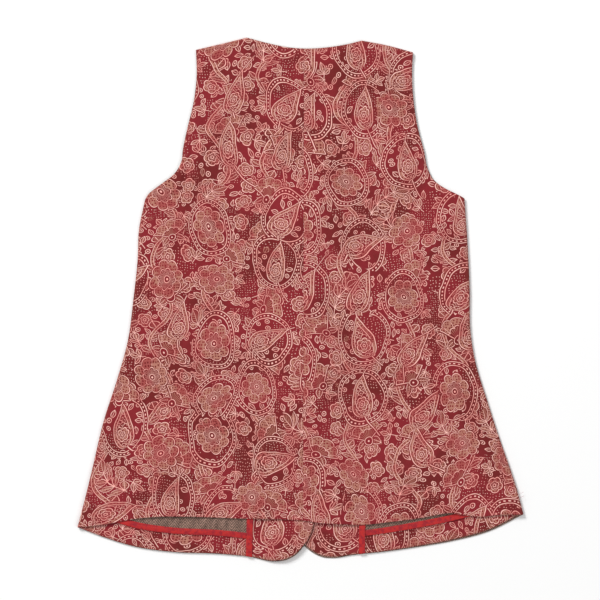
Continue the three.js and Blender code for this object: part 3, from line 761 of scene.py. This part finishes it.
GROUND = (0.262, 0.0142, 0.0225, 1)
GROUND_DEEP = (0.14, 0.011, 0.009, 1)
LINE_PALE = (1.0, 0.61, 0.54, 1)
LINE_ROSE = (0.91, 0.33, 0.285, 1)
FILL_TAN = (0.445, 0.172, 0.125, 1)
FILL_ROSE = (0.35, 0.06, 0.055, 1)
# The brown laid on near the edges: partly wear from handling, partly painted shade along edges and
# beside the tapes
EDGE_WEAR_AND_SHADE_BROWN = (0.19, 0.055, 0.036, 1)
THREAD = 0.55


def finish_cloth(material, shader, wire, colour, height, strength, reach):
    """Links a cloth's colour and its raised threads to its shader."""
    bump = wire.add("ShaderNodeBump", {}, {"Height": height, "Strength": strength,
                                           "Distance": reach})
    material.node_tree.links.new(colour.socket, shader.inputs["Base Color"])
    material.node_tree.links.new(bump.socket, shader.inputs["Normal"])


def cloth_place(wire):
    """The place on the flat cloth, across and along, in millimetres."""
    u, v, _ = wire.add("ShaderNodeUVMap", {"uv_map": "cloth"}, {}).parts()
    return u * 1000, v * 1000


def plain_weave(x, y, thread):
    """Threads over and under each other: waves along and across that take turns."""
    along, across = (x * (math.pi / thread)).sin(), (y * (math.pi / thread)).sin()
    return abs(along) * 0.5 + abs(across) * 0.5 + along * across * 0.3


print_cloth, print_shader, wire = cloth_material("printed_cotton", 0.88, 0.12, 0.25)
cloth_x, cloth_y = cloth_place(wire)
ink = print_ink(cloth_x, cloth_y)
flat_place = wire.join(cloth_x, cloth_y)
wear = flat_place.noise(85.0, 3.0, 0.6)
fleck = flat_place.noise(1.6, 1.0)
tone = flat_place.noise(24.0, 2.0).ramp(0.36, 0.58)
ground = (wear.ramp(0.34, 0.6) * 0.7 + fleck * 0.6 - 0.15).mix(GROUND_DEEP, GROUND)
fill = tone.mix(FILL_ROSE, FILL_TAN)
on_fill = (ink * (1 / TAN_INK)).low(1.0).mix(ground, fill)
pale = (tone * 0.6 + fleck * 0.4).mix(LINE_ROSE, LINE_PALE)
printed = (ink * (fleck * 0.3 + 0.85)).ramp(TAN_INK, 1.0).mix(on_fill, pale)
weave = plain_weave(cloth_x, cloth_y, THREAD)
# Towards its edges the print browns: partly handling wear, partly painted edge shade
wear_and_edge_shade = wire.add("ShaderNodeAttribute", {"attribute_name": "wear_and_edge_shade"}, {}).out("Fac")
printed = (wear_and_edge_shade * (wear * 0.5 + 0.25)).mix(printed, EDGE_WEAR_AND_SHADE_BROWN)
pucker = flat_place.noise(16.0, 2.0)
finish_cloth(print_cloth, print_shader, wire, printed,
             weave * 0.12 + pucker * 1.6, 0.5, 0.5 * MM)

LINING_COLOUR = (0.39, 0.232, 0.175, 1)
LINING_DARK = (0.036, 0.016, 0.012, 1)
TWILL = 4.2
HERRINGBONE = 15.0

lining_cloth, lining_shader, wire = cloth_material("taupe_twill", 0.7, 0.2, 0.35)
x, y = cloth_place(wire)
zigzag = abs((x / HERRINGBONE).fract() - 0.5) * HERRINGBONE
slub = wire.join(x, y).noise(2.4, 2.0, 0.6)
rib = ((y + zigzag * 1.3 + slub * 2.5) * (2 * math.pi / TWILL)).sin().ramp(-0.7, 0.7)
# Long soft patches, drawn out along the cloth, darken the lining in places: painted shade of its
# creases
wear_and_painted_shade = wire.join(x, y * 0.4).noise(11.0, 2.0).ramp(0.3, 0.62) * 0.32 + 0.68
finish_cloth(lining_cloth, lining_shader, wire,
             ((rib * 0.64 + slub * 0.9 - 0.25) * wear_and_painted_shade).mix(LINING_DARK, LINING_COLOUR),
             rib * 0.3 + slub * 0.6, 0.6, 0.4 * MM)


# The middle seam's ends, at the hem and at the neck; over how far the side and shoulder seams let go
# of each other; and how a seam's edge is meshed
SEAM_ENDS = [(3.6, -320), (5.1, 364)]
SIDE_FADE = 14 * MM
SHOULDER_FADE = 12 * MM
SEAM_PLACES = [0, 0.5 * MM, 1.4 * MM, 2.6 * MM, SEAM_REACH]
TURNED_RIM = np.unique(np.round(np.concatenate([RIM_PLACES, TURN_PLACES]), 7))


def side_seam(side):
    """1 where a side's seam holds, and 0 from a little above the underarm."""
    underarm = SIDES[side]["underarm"] * MM
    return lambda x, y: 1 - step(underarm, underarm + SIDE_FADE, y)


def outer_edge(side, inset=0.0):
    """A panel's side and armhole: half a wall inside the outline at the seam, and in the armhole cut
    deeper by the inset, as half a wave."""
    row = SIDES[side]
    inward, underarm = row["inward"], row["underarm"] * MM
    low, high = row["corner"][1] * MM, row["tip"][1] * MM

    def place(y):
        up = np.clip((y - underarm) / (high - underarm), 0, 1)
        armhole = row["armhole"](y) + inward * inset * np.sin(math.pi * up)
        outline = np.where(y < underarm, row["side"](y), armhole)
        return outline + inward * SHELL / 2 * side_seam(side)(0, y)

    return upright(place, low, high)


def panel_columns(side, start, count, end):
    """The columns of a side's panel: close ones at its side, even ones, close ones at the middle."""
    def columns(wide):
        places = spread(wide, start, count, end)
        return places if side == "left" else (wide - places)[:, ::-1]
    return columns


def panel_rows(side, count, turn):
    """The rows of a side's panel: close ones in the hem's rim, even ones, close ones at the top."""
    tall = (SIDES[side]["tip"][1] - SIDES[side]["corner"][1]) * MM
    even = stations((tall - TURN - 2 * RIM_PLACES[-1], count))[1:] + RIM_PLACES[-1]
    return np.concatenate([RIM_PLACES, even, tall - turn[::-1]])


def back_panel(name, side, shift, grain):
    """One half of the back, from its side seam and armhole to the seam down the middle."""
    row = SIDES[side]
    inward, far, neck_x = row["inward"], row["far"], row["neck"] * MM
    (hem_x, hem_y), (high_x, high_y) = SEAM_ENDS

    def shoulder_seam(x, y):
        return 1 - step(0, SHOULDER_FADE, (x - neck_x) * inward)

    def middle_seam(y):
        up = (y / MM - hem_y) / (high_y - hem_y)
        return (hem_x + (high_x - hem_x) * up) * MM - inward * SEAM_SLIT / 2

    def top(x):
        height = np.where((x - neck_x) * inward < 0, row["shoulder"](x), neck(x))
        return height - SHELL / 2 * shoulder_seam(x, 0)

    seam_low, seam_high = middle_seam(hem_y * MM), middle_seam(high_y * MM)
    ends = [row["corner"][0] * MM, seam_low][::inward]
    top_ends = [row["tip"][0] * MM, seam_high][::inward]
    edges = {side: outer_edge(side),
             far: upright(middle_seam, back_hem(seam_low), neck(seam_high)),
             "bottom": level(back_hem, *ends), "top": level(top, *top_ends)}
    free = (FREE_SAG, FREE_REACH)
    # Only the side and shoulder edges brown, partly as handling wear and partly as painted edge shade
    return cloth_wall(
        name, [print_cloth, lining_cloth], edges,
        panel_columns(side, TURNED_RIM, 112, SEAM_PLACES), panel_rows(side, 320, TURNED_RIM),
        back_z, SHELL, ("bottom", side, "top"), shift, grain,
        seams={side: side_seam(side), "top": shoulder_seam},
        sags={side: free, far: (SEAM_SAG, SEAM_REACH), "top": free},
        way=-1, wear_and_painted_shade=(side, "top"), relief=uneven)


def settle(piece, node=None):
    """The piece moves with the body, and may stand for a node, whose part it hides."""
    if node:
        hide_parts(node)
    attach(piece, "root")


BACKS = {"left": {"cut_at": (0.62, 0.41), "grain": 0.025, "area": 0.185},
         "right": {"cut_at": (2.17, 1.36), "grain": -0.03, "area": 0.182}}
for side, cut in BACKS.items():
    panel = back_panel("back_" + side + "_cloth", side, cut["cut_at"], cut["grain"])
    settle(panel, "back_" + side)


# The two fronts: cut to lie under the back, with a deeper armhole and an open V neck. The wearer's
# right one laps over the left one, so here, from behind, the left one steps up over the right.
FRONT_ARMHOLE_INSET = 7 * MM
# Each front's hem and lapped edge, and where that edge starts and ends, in millimetres
SIDES["left"].update({
    "hem": curve([
        (-323.4, -330.2), (-290.7, -342.6), (-238.5, -358.5), (-186.3, -365.8), (-116.7, -368.7),
        (-73.2, -373), (-36, -379.5), (-19, -376.6), (-3.6, -367.2), (5, -357)]),
    "edge": curve([
        (-357, 5), (-344.6, 12.9), (-332, 18), (-316, 20.7), (-296, 21), (130, 21), (155, 18.5),
        (190, 7.5), (245, -18), (310, -48), (379.5, -77.6)]),
    "edge_low": (5, -357), "edge_high": 379.5})
SIDES["right"].update({
    "hem": curve([
        (4.4, -356), (13.8, -364), (29, -372.3), (48.6, -374.5), (74.7, -370.4), (118.2, -365.8),
        (170.4, -358.5), (222.6, -349.4), (274.8, -335.3), (323.4, -311.4)]),
    "edge": curve([
        (-356, 4.4), (-344.6, -4), (-332, -9.2), (-316, -12), (-296, -12.3), (130, -12.3),
        (155, -9.8), (190, 1.2), (245, 27.5), (310, 59), (375.2, 89.2)]),
    "edge_low": (4.4, -356), "edge_high": 375.2})


def front_z(side):
    """The middle of a front's wall: flat on the surface but for the buttons and the lap."""
    def height(x, y):
        return SHELL / 2 + button_rise(x, y) + (lap_rise(x, y) if side == "left" else 0)
    return height


def front_panel(name, side, shift, grain):
    """One front, from its side seam and armhole to its lapped edge and open neck."""
    row = SIDES[side]
    inward, far = row["inward"], row["far"]
    edge_x, edge_y = (value * MM for value in row["edge_low"])
    ends = [row["corner"][0] * MM, edge_x][::inward]
    top_ends = [row["tip"][0] * MM, row["neck"] * MM][::inward]
    edges = {side: outer_edge(side, FRONT_ARMHOLE_INSET),
             far: upright(row["edge"], edge_y, row["edge_high"] * MM - SHELL / 2),
             "bottom": level(row["hem"], *ends),
             "top": level(lambda x: row["shoulder"](x) - SHELL / 2, *top_ends)}
    # The hem, lapped edge and side brown, partly as handling wear and partly as painted edge shade
    return cloth_wall(
        name, [lining_cloth, print_cloth], edges,
        panel_columns(side, TURN_PLACES, 66, RIM_PLACES), panel_rows(side, 130, TURN_PLACES),
        front_z(side), SHELL, ("bottom", far, side), shift, grain,
        seams={side: side_seam(side), "top": lambda x, y: 0 * x + 1})


FRONTS = {"left": {"cut_at": (3.31, 0.77), "grain": -0.02, "area": 0.196},
          "right": {"cut_at": (4.45, 2.18), "grain": 0.03, "area": 0.192}}
for side, cut in FRONTS.items():
    panel = front_panel("front_" + side + "_cloth", side, cut["cut_at"], cut["grain"])
    settle(panel, "front_" + side)


# The inside of the hem: strips of the print face the front edges and the hem, taupe twill lines the
# rest, and scarlet tape, folded and stitched down, binds the facings where the lining meets them.

# How far above the hem's edge the facing and the tape end, and how far in from the edges the pieces
# start; the heights where lining and facings end beneath the back; and how far in from the front
# tape's outer edge the facings meet under it
FACING_DEPTH = 33 * MM
FACING_INSET = 0.8 * MM
TAPE_TOP = 34.4 * MM
TAPE_WIDTH = 8.5 * MM
LINING_TOP = -262 * MM
FACING_TOP = -286 * MM
SIDE_CLEARANCE = 4.5 * MM
FRONT_TAPE_WIDTH = 9.3 * MM
JOIN_FROM_OUTER = 1.2 * MM
# Each front tape's outer edge: its place at the foot and at the top, and those two heights
SIDES["left"]["tape"] = (-79.2, -77.9)
SIDES["right"]["tape"] = (93.6, 94.3)
TAPE_HEIGHTS = (-372, -317)
HEM_HEIGHT = -330 * MM
TAPE_HEIGHT = -340 * MM
TAPE_CROWN = 0.45 * MM
# The lining's ripples: where they start above the hem and end below the back, how far apart they
# are, and how deep under the back and where they show
RIPPLES_FROM = (36 * MM, 41 * MM)
RIPPLES_TO = (-264 * MM, -272 * MM)
RIPPLE = 2.6 * MM
RIPPLE_HIDDEN = 0.4
RIPPLE_SHOWN = 2.3
TAPE_RED = (0.54, 0.019, 0.015, 1)
TAPE_DEEP = (0.29, 0.007, 0.018, 1)

binding_tape, tape_shader, wire = cloth_material("scarlet_tape", 0.5, 0.08, 0.3)
x, y = cloth_place(wire)
flat_place = wire.join(x, y)
slub = wire.join(x * 0.25, y).noise(1.1, 2.0)
blotch = flat_place.noise(7.0, 3.0, 0.6)
finish_cloth(binding_tape, tape_shader, wire,
             (slub * 0.3 + blotch.ramp(0.33, 0.6) * 0.7 - 0.05).mix(TAPE_DEEP, TAPE_RED),
             plain_weave(x, y, 0.45) * 0.15 + blotch * 2.0 + slub * 0.3, 0.7, 0.5 * MM)


def on_front(side, layer):
    """The middle height of a layer that lies on a front: the front's, moved up."""
    below = front_z(side)
    rise = (SHELL + LIGHT) / 2 + GAP + layer * (LIGHT + GAP)
    return lambda x, y: below(x, y) + rise


def clear_of_back(x, y):
    """0 under the back's hem, 1 where a layer of the front shows below it."""
    return step(0, 5 * MM, back_hem(x) - y)


def lining_height(side):
    """The lining's soft slanting creases: low where the back lies on them, higher and uneven between
    the back's hem and the tape, where they die out."""
    flat, hem = on_front(side, 0), SIDES[side]["hem"]

    def height(x, y):
        off_tape = step(*RIPPLES_FROM, y - hem(x)) * step(*RIPPLES_TO, y)
        lean = x - 0.1 * y + 4 * MM * np.sin(x / (17 * MM))
        waves = (0.5 + 0.5 * np.sin(lean / RIPPLE)) ** 2
        deep = RIPPLE_HIDDEN + RIPPLE_SHOWN * clear_of_back(x, y)
        return flat(x, y) + MM * off_tape * waves * deep * (0.65 + 0.35 * np.sin(x / (10 * MM) + 1.3))

    return height


def tape_height(side, across):
    """The folded tape's crown, from one edge (across 0) to the other (1), with a slow wave along."""
    flat = on_front(side, 1)

    def height(x, y):
        share = np.clip(across(x, y), 0, 1)
        drawn = 0.75 + 0.25 * np.sin((x + y) / (4.3 * MM) + 1.4 * np.sin((x - y) / (13 * MM)))
        return flat(x, y) + TAPE_CROWN * 4 * share * (1 - share) * drawn * clear_of_back(x, y)
    return height


def inner_strip(name, side, material, height, outer, inner, bottom, top, across, up, shift, grain=0.0):
    """A strip on a front, between two uprights (the outer one first) and two levels."""
    inward, far = SIDES[side]["inward"], SIDES[side]["far"]
    (outer_low, outer_high), (inner_low, inner_high) = (
        (bottom(edge(HEM_HEIGHT)), top(edge(HEM_HEIGHT))) for edge in (outer, inner))
    ends = [outer(outer_low), inner(inner_low)][::inward]
    top_ends = [outer(outer_high), inner(inner_high)][::inward]
    tall = inner_high - inner_low
    rim = RIM_PLACES[:-1]
    even = stations((tall - 2 * rim[-1], up))[1:-1] + rim[-1]
    # Where a strip is of the print, all its edges brown: painted shade lines beside the tapes and hem,
    # partly also handling wear
    return cloth_wall(
        name, [material],
        {side: upright(outer, outer_low, outer_high), far: upright(inner, inner_low, inner_high),
         "bottom": level(bottom, *ends), "top": level(top, *top_ends)},
        lambda wide: spread(wide, rim, across, rim), np.concatenate([rim, even, tall - rim[::-1]]),
        height, LIGHT, ("left", "right", "bottom", "top"), shift, grain)


STITCH_SIDES = 8
STITCH_RINGS = 6
STITCH_CAP = np.array([[0, 1, 2, 3], [0, 3, 4, 7], [4, 5, 6, 7]])
STITCH_PITCH = 3.0 * MM
STITCH_LENGTH = 2.0 * MM


def skin_of(index):
    """The faces round a tube, from the numbers of its points, ring by ring."""
    beyond = np.roll(index, -1, axis=1)
    return np.stack([index[:-1], beyond[:-1], beyond[1:], index[1:]], -1).reshape(-1, 4)


def stitches(name, starts, ends, radius, material, arch=0.0):
    """A row of stitches as one mesh. Each is an eight-sided bead from its start to its end, which
    swells and closes as half a circle does and rises in the middle by the arch."""
    ahead = (ends - starts) / 2
    beside = np.cross(np.array([0, 0, 1.0]), ahead)
    beside /= np.linalg.norm(beside, axis=1, keepdims=True)
    above = np.cross(ahead, beside)
    above /= np.linalg.norm(above, axis=1, keepdims=True)
    ring = np.radians(np.linspace(10, 170, STITCH_RINGS))[:, None]
    turn = np.radians(np.arange(STITCH_SIDES) * 360 / STITCH_SIDES)
    swell = np.sin(ring) ** 0.6 * radius
    along = (-np.cos(ring) + 0 * turn)[None, ..., None]
    wide = (swell * np.cos(turn))[None, ..., None]
    high = (swell * np.sin(turn) + np.sin(ring) ** 2 * arch)[None, ..., None]
    middle = ((starts + ends) / 2)[:, None, None]
    points = (middle + along * ahead[:, None, None] + wide * beside[:, None, None]
              + high * above[:, None, None])

    index = np.arange(STITCH_RINGS * STITCH_SIDES).reshape(STITCH_RINGS, STITCH_SIDES)
    one = np.concatenate([skin_of(index), STITCH_CAP[:, ::-1], index[-1, 0] + STITCH_CAP])
    faces = (one + index.size * np.arange(len(starts))[:, None, None]).reshape(-1, 4)
    return mesh_object(name, points.reshape(-1, 3), faces, [material])


def stitch_path(x, y, height):
    """The starts and ends of stitches at an even pitch along a path, on a surface of that height."""
    path = np.stack([x, y, height(x, y) + LIGHT / 2], -1)
    far = np.concatenate([[0], np.cumsum(np.linalg.norm(np.diff(path, axis=0), axis=1))])
    places = np.arange(STITCH_PITCH / 2, far[-1] - STITCH_LENGTH, STITCH_PITCH)

    def at(place):
        return np.stack([np.interp(place, far, path[:, k]) for k in range(3)], -1)

    return at(places), at(places + STITCH_LENGTH)


THREAD_RED = (0.36, 0.012, 0.022, 1)
THREAD_LIGHT = (0.47, 0.03, 0.04, 1)
red_thread, thread_shader, wire = cloth_material("red_thread", 0.5, 0.1, 0.4)
spot = wire.add("ShaderNodeTexCoord", {}, {}).out("Object")
strand = spot.noise(0.9 * MM, 1.0)
finish_cloth(red_thread, thread_shader, wire, strand.mix(THREAD_RED, THREAD_LIGHT), strand, 0.4,
             0.1 * MM)

# What is cut for each side, in metres, and what each piece lies on
HEM_CUT_AT = {"left": (5.1, 0.3), "right": (6.2, 1.9)}
FRONT_CUT_FURTHER = (0.63, 0.9)
STITCH_INSET = 1.3 * MM
STITCH_RADIUS = 0.2 * MM
STITCH_ARCH = 0.05 * MM
STITCHES_FROM = -368 * MM


def hem_inside(side):
    """What shows inside one front's hem: its five pieces, and the stitches of its tapes."""
    row = SIDES[side]
    inward, hem, (tape_foot, tape_top) = row["inward"], row["hem"], row["tape"]
    half_gap = inward * GAP / 2

    def tape_outer(y):
        up = (y / MM - TAPE_HEIGHTS[0]) / (TAPE_HEIGHTS[1] - TAPE_HEIGHTS[0])
        return (tape_foot + (tape_top - tape_foot) * up) * MM

    def tape_inner(y):
        return tape_outer(y) + inward * FRONT_TAPE_WIDTH

    def join(y):
        return tape_outer(y) + inward * JOIN_FROM_OUTER

    def side_edge(y):
        return row["side"](y) + inward * SIDE_CLEARANCE

    def above_hem(rise):
        return lambda x: hem(x) + rise

    def flat_at(height):
        return lambda x: 0 * x + height

    flat = on_front(side, 0)
    hem_tape = tape_height(side, lambda x, y: (y - hem(x) - TAPE_TOP + TAPE_WIDTH) / TAPE_WIDTH)
    front_tape = tape_height(side, lambda x, y: (x - tape_outer(y)) * inward / FRONT_TAPE_WIDTH)
    cut_at = HEM_CUT_AT[side]
    front_cut_at = tuple(np.add(cut_at, FRONT_CUT_FURTHER))
    forms = {
        "facing_hem": (print_cloth, flat, side_edge, lambda y: join(y) - half_gap,
                       above_hem(FACING_INSET), above_hem(FACING_DEPTH), 60, 10, cut_at,
                       0.12 * inward),
        "lining": (lining_cloth, lining_height(side), side_edge, lambda y: join(y) - half_gap,
                   above_hem(FACING_DEPTH + GAP), flat_at(LINING_TOP), 200, 34, cut_at, 0.03),
        "tape_hem": (binding_tape, hem_tape, side_edge, lambda y: tape_outer(y) - inward * GAP,
                     above_hem(TAPE_TOP - TAPE_WIDTH), above_hem(TAPE_TOP), 150, 10, cut_at),
        "tape_front": (binding_tape, front_tape, tape_outer, tape_inner,
                       above_hem(FACING_INSET), flat_at(FACING_TOP), 8, 40, cut_at),
        "facing_front": (print_cloth, flat, lambda y: join(y) + half_gap,
                         lambda y: row["edge"](y) - inward * FACING_INSET,
                         above_hem(FACING_INSET), flat_at(FACING_TOP), 40, 34, front_cut_at,
                         -0.04 * inward),
    }
    for node, form in forms.items():
        piece = inner_strip(node + "_" + side + "_cloth", side, *form)
        settle(piece, node + "_" + side)

    share = np.linspace(0, 1, 200)
    x = side_edge(HEM_HEIGHT) + (tape_outer(TAPE_HEIGHT) - side_edge(HEM_HEIGHT)) * share
    sewn = [stitch_path(x, hem(x) + rise, hem_tape)
            for rise in (TAPE_TOP - STITCH_INSET, TAPE_TOP - TAPE_WIDTH + STITCH_INSET)]
    y = STITCHES_FROM + (FACING_TOP - STITCHES_FROM) * share
    sewn += [stitch_path(tape_outer(y) + inward * place, y, front_tape)
             for place in (STITCH_INSET, FRONT_TAPE_WIDTH - STITCH_INSET)]
    starts, ends = (np.concatenate(part) for part in zip(*sewn))
    settle(stitches("tape_stitches_" + side, starts, ends, STITCH_RADIUS, red_thread, STITCH_ARCH))


for side in SIDES:
    hem_inside(side)


# Five four-hole buttons of dark red horn-like plastic, sewn to the lower front and passed out through
# worked buttonholes in the outer one. The garment lies on them, with their dished faces down.
BUTTON_YS = np.array([132, 52, -28, -108, -188]) * MM
BUTTON_RADIUS = 9 * MM
BUTTON_THICK = 2.2 * MM
RIM_WIDTH = 1.6 * MM
DISH = 0.6 * MM
EDGE_ROUND = 0.5 * MM
HOLE_PLACE = 1.7 * MM
HOLE_RADIUS = 0.75 * MM
HOLE_DEEP = 1.1 * MM
BUTTON_SIDES = 96
CENTRE_RINGS = [0.004 * MM]
FACE_RINGS = np.linspace(0.15, 4.2, 28) * MM
DISH_RINGS = np.linspace(4.6, 8.4, 8) * MM
EDGE_RINGS = BUTTON_RADIUS - EDGE_ROUND * (1 - np.sin(np.radians([18, 36, 54, 72, 90])))
BAR_END = 0.8 * MM
BAR_ARCH = -0.34 * MM
BAR_RADIUS = 0.27 * MM
BUTTONHOLE_HALF = 11 * MM
LIP_IN = 0.2 * MM
LIP_OUT = 1.9 * MM
LIP_RADIUS = 0.42 * MM
LIP_Z = 2.68 * MM
LIP_PITCH = 0.8 * MM
BUTTON_RED = (0.115, 0.012, 0.016, 1)
BUTTON_LIGHT = (0.26, 0.04, 0.04, 1)

horn, horn_shader, wire = cloth_material("button_horn", 0.28, 0.0, 0.5)
spot = wire.add("ShaderNodeTexCoord", {}, {}).out("Object")
x, y, z = spot.parts()
grain_place = wire.join(x * 0.35 + z * 0.6, y)
streak = grain_place.noise(2.2 * MM, 4.0, 0.6)
finish_cloth(horn, horn_shader, wire, streak.ramp(0.3, 0.75).mix(BUTTON_RED, BUTTON_LIGHT),
             streak, 0.15, 0.1 * MM)


def button_face(radius, angle):
    """How high the downward face is: a rim with a rounded edge, a dish inside it, and four holes
    that run up into the disc."""
    edge = np.clip(radius - (BUTTON_RADIUS - EDGE_ROUND), 0, EDGE_ROUND)
    rounded = EDGE_ROUND - np.sqrt(EDGE_ROUND**2 - edge**2)
    rim = step(BUTTON_RADIUS - 2.4 * RIM_WIDTH, BUTTON_RADIUS - 0.6 * RIM_WIDTH, radius)
    x, y = radius * np.cos(angle), radius * np.sin(angle)
    away = np.hypot(abs(x) - HOLE_PLACE, abs(y) - HOLE_PLACE)
    hole = 1 - step(HOLE_RADIUS * 0.75, HOLE_RADIUS * 1.2, away)
    return rounded + DISH * (1 - rim) + HOLE_DEEP * hole


def button(name, x, y):
    """A disc on a polar grid: out along the face, round the edge and in along the flat back. A flat
    cap closes the small first ring, and another the last one."""
    out = np.concatenate([CENTRE_RINGS, FACE_RINGS, DISH_RINGS, EDGE_RINGS])[:, None]
    angle = np.radians(np.arange(BUTTON_SIDES) * 360 / BUTTON_SIDES)
    face = button_face(out, angle)
    inwards = out[::-1]
    back_out = np.concatenate([inwards[:6], inwards[14::8], out[:1]])
    rounded = button_face(back_out, 0 * angle) * (back_out > BUTTON_RADIUS - EDGE_ROUND)
    radius = np.concatenate([out, back_out]) + 0 * angle
    z = np.concatenate([face, BUTTON_THICK - rounded])
    points = np.dstack([x + radius * np.cos(angle), y + radius * np.sin(angle), z]).reshape(-1, 3)
    index = np.arange(radius.size).reshape(radius.shape)
    fan = np.arange(1, BUTTON_SIDES - 1, 2)
    cap = np.stack([0 * fan, fan, fan + 1, fan + 2], -1) % BUTTON_SIDES
    faces = np.concatenate([skin_of(index), cap[:, ::-1], index[-1, 0] + cap])
    return mesh_object(name, points, faces, [horn])


for number, button_y in enumerate(BUTTON_YS, 1):
    disc = button(f"button_{number}_disc", LAP_X, button_y)
    settle(disc, f"button_{number}")

# Two bars of thread cross each button's face, from hole to hole, and dip into the holes
starts = np.array([[LAP_X - HOLE_PLACE, button_y + sign * HOLE_PLACE, BAR_END]
                   for button_y in BUTTON_YS for sign in (-1, 1)])
bars = stitches("button_thread", starts, starts + [2 * HOLE_PLACE, 0, 0], BAR_RADIUS, red_thread,
                BAR_ARCH)
settle(bars)

# The buttonholes are worked in thread: short stitches side by side, along both lips of each slit
across = LAP_X + np.arange(-BUTTONHOLE_HALF, BUTTONHOLE_HALF + MM / 2, LIP_PITCH)
starts = np.concatenate([
    np.stack([across, np.full_like(across, button_y + place), np.full_like(across, LIP_Z)], -1)
    for button_y in BUTTON_YS for place in (-LIP_OUT, LIP_IN)])
worked = stitches("buttonhole_stitches", starts, starts + [0, LIP_OUT - LIP_IN, 0], LIP_RADIUS,
                  red_thread)
settle(worked)
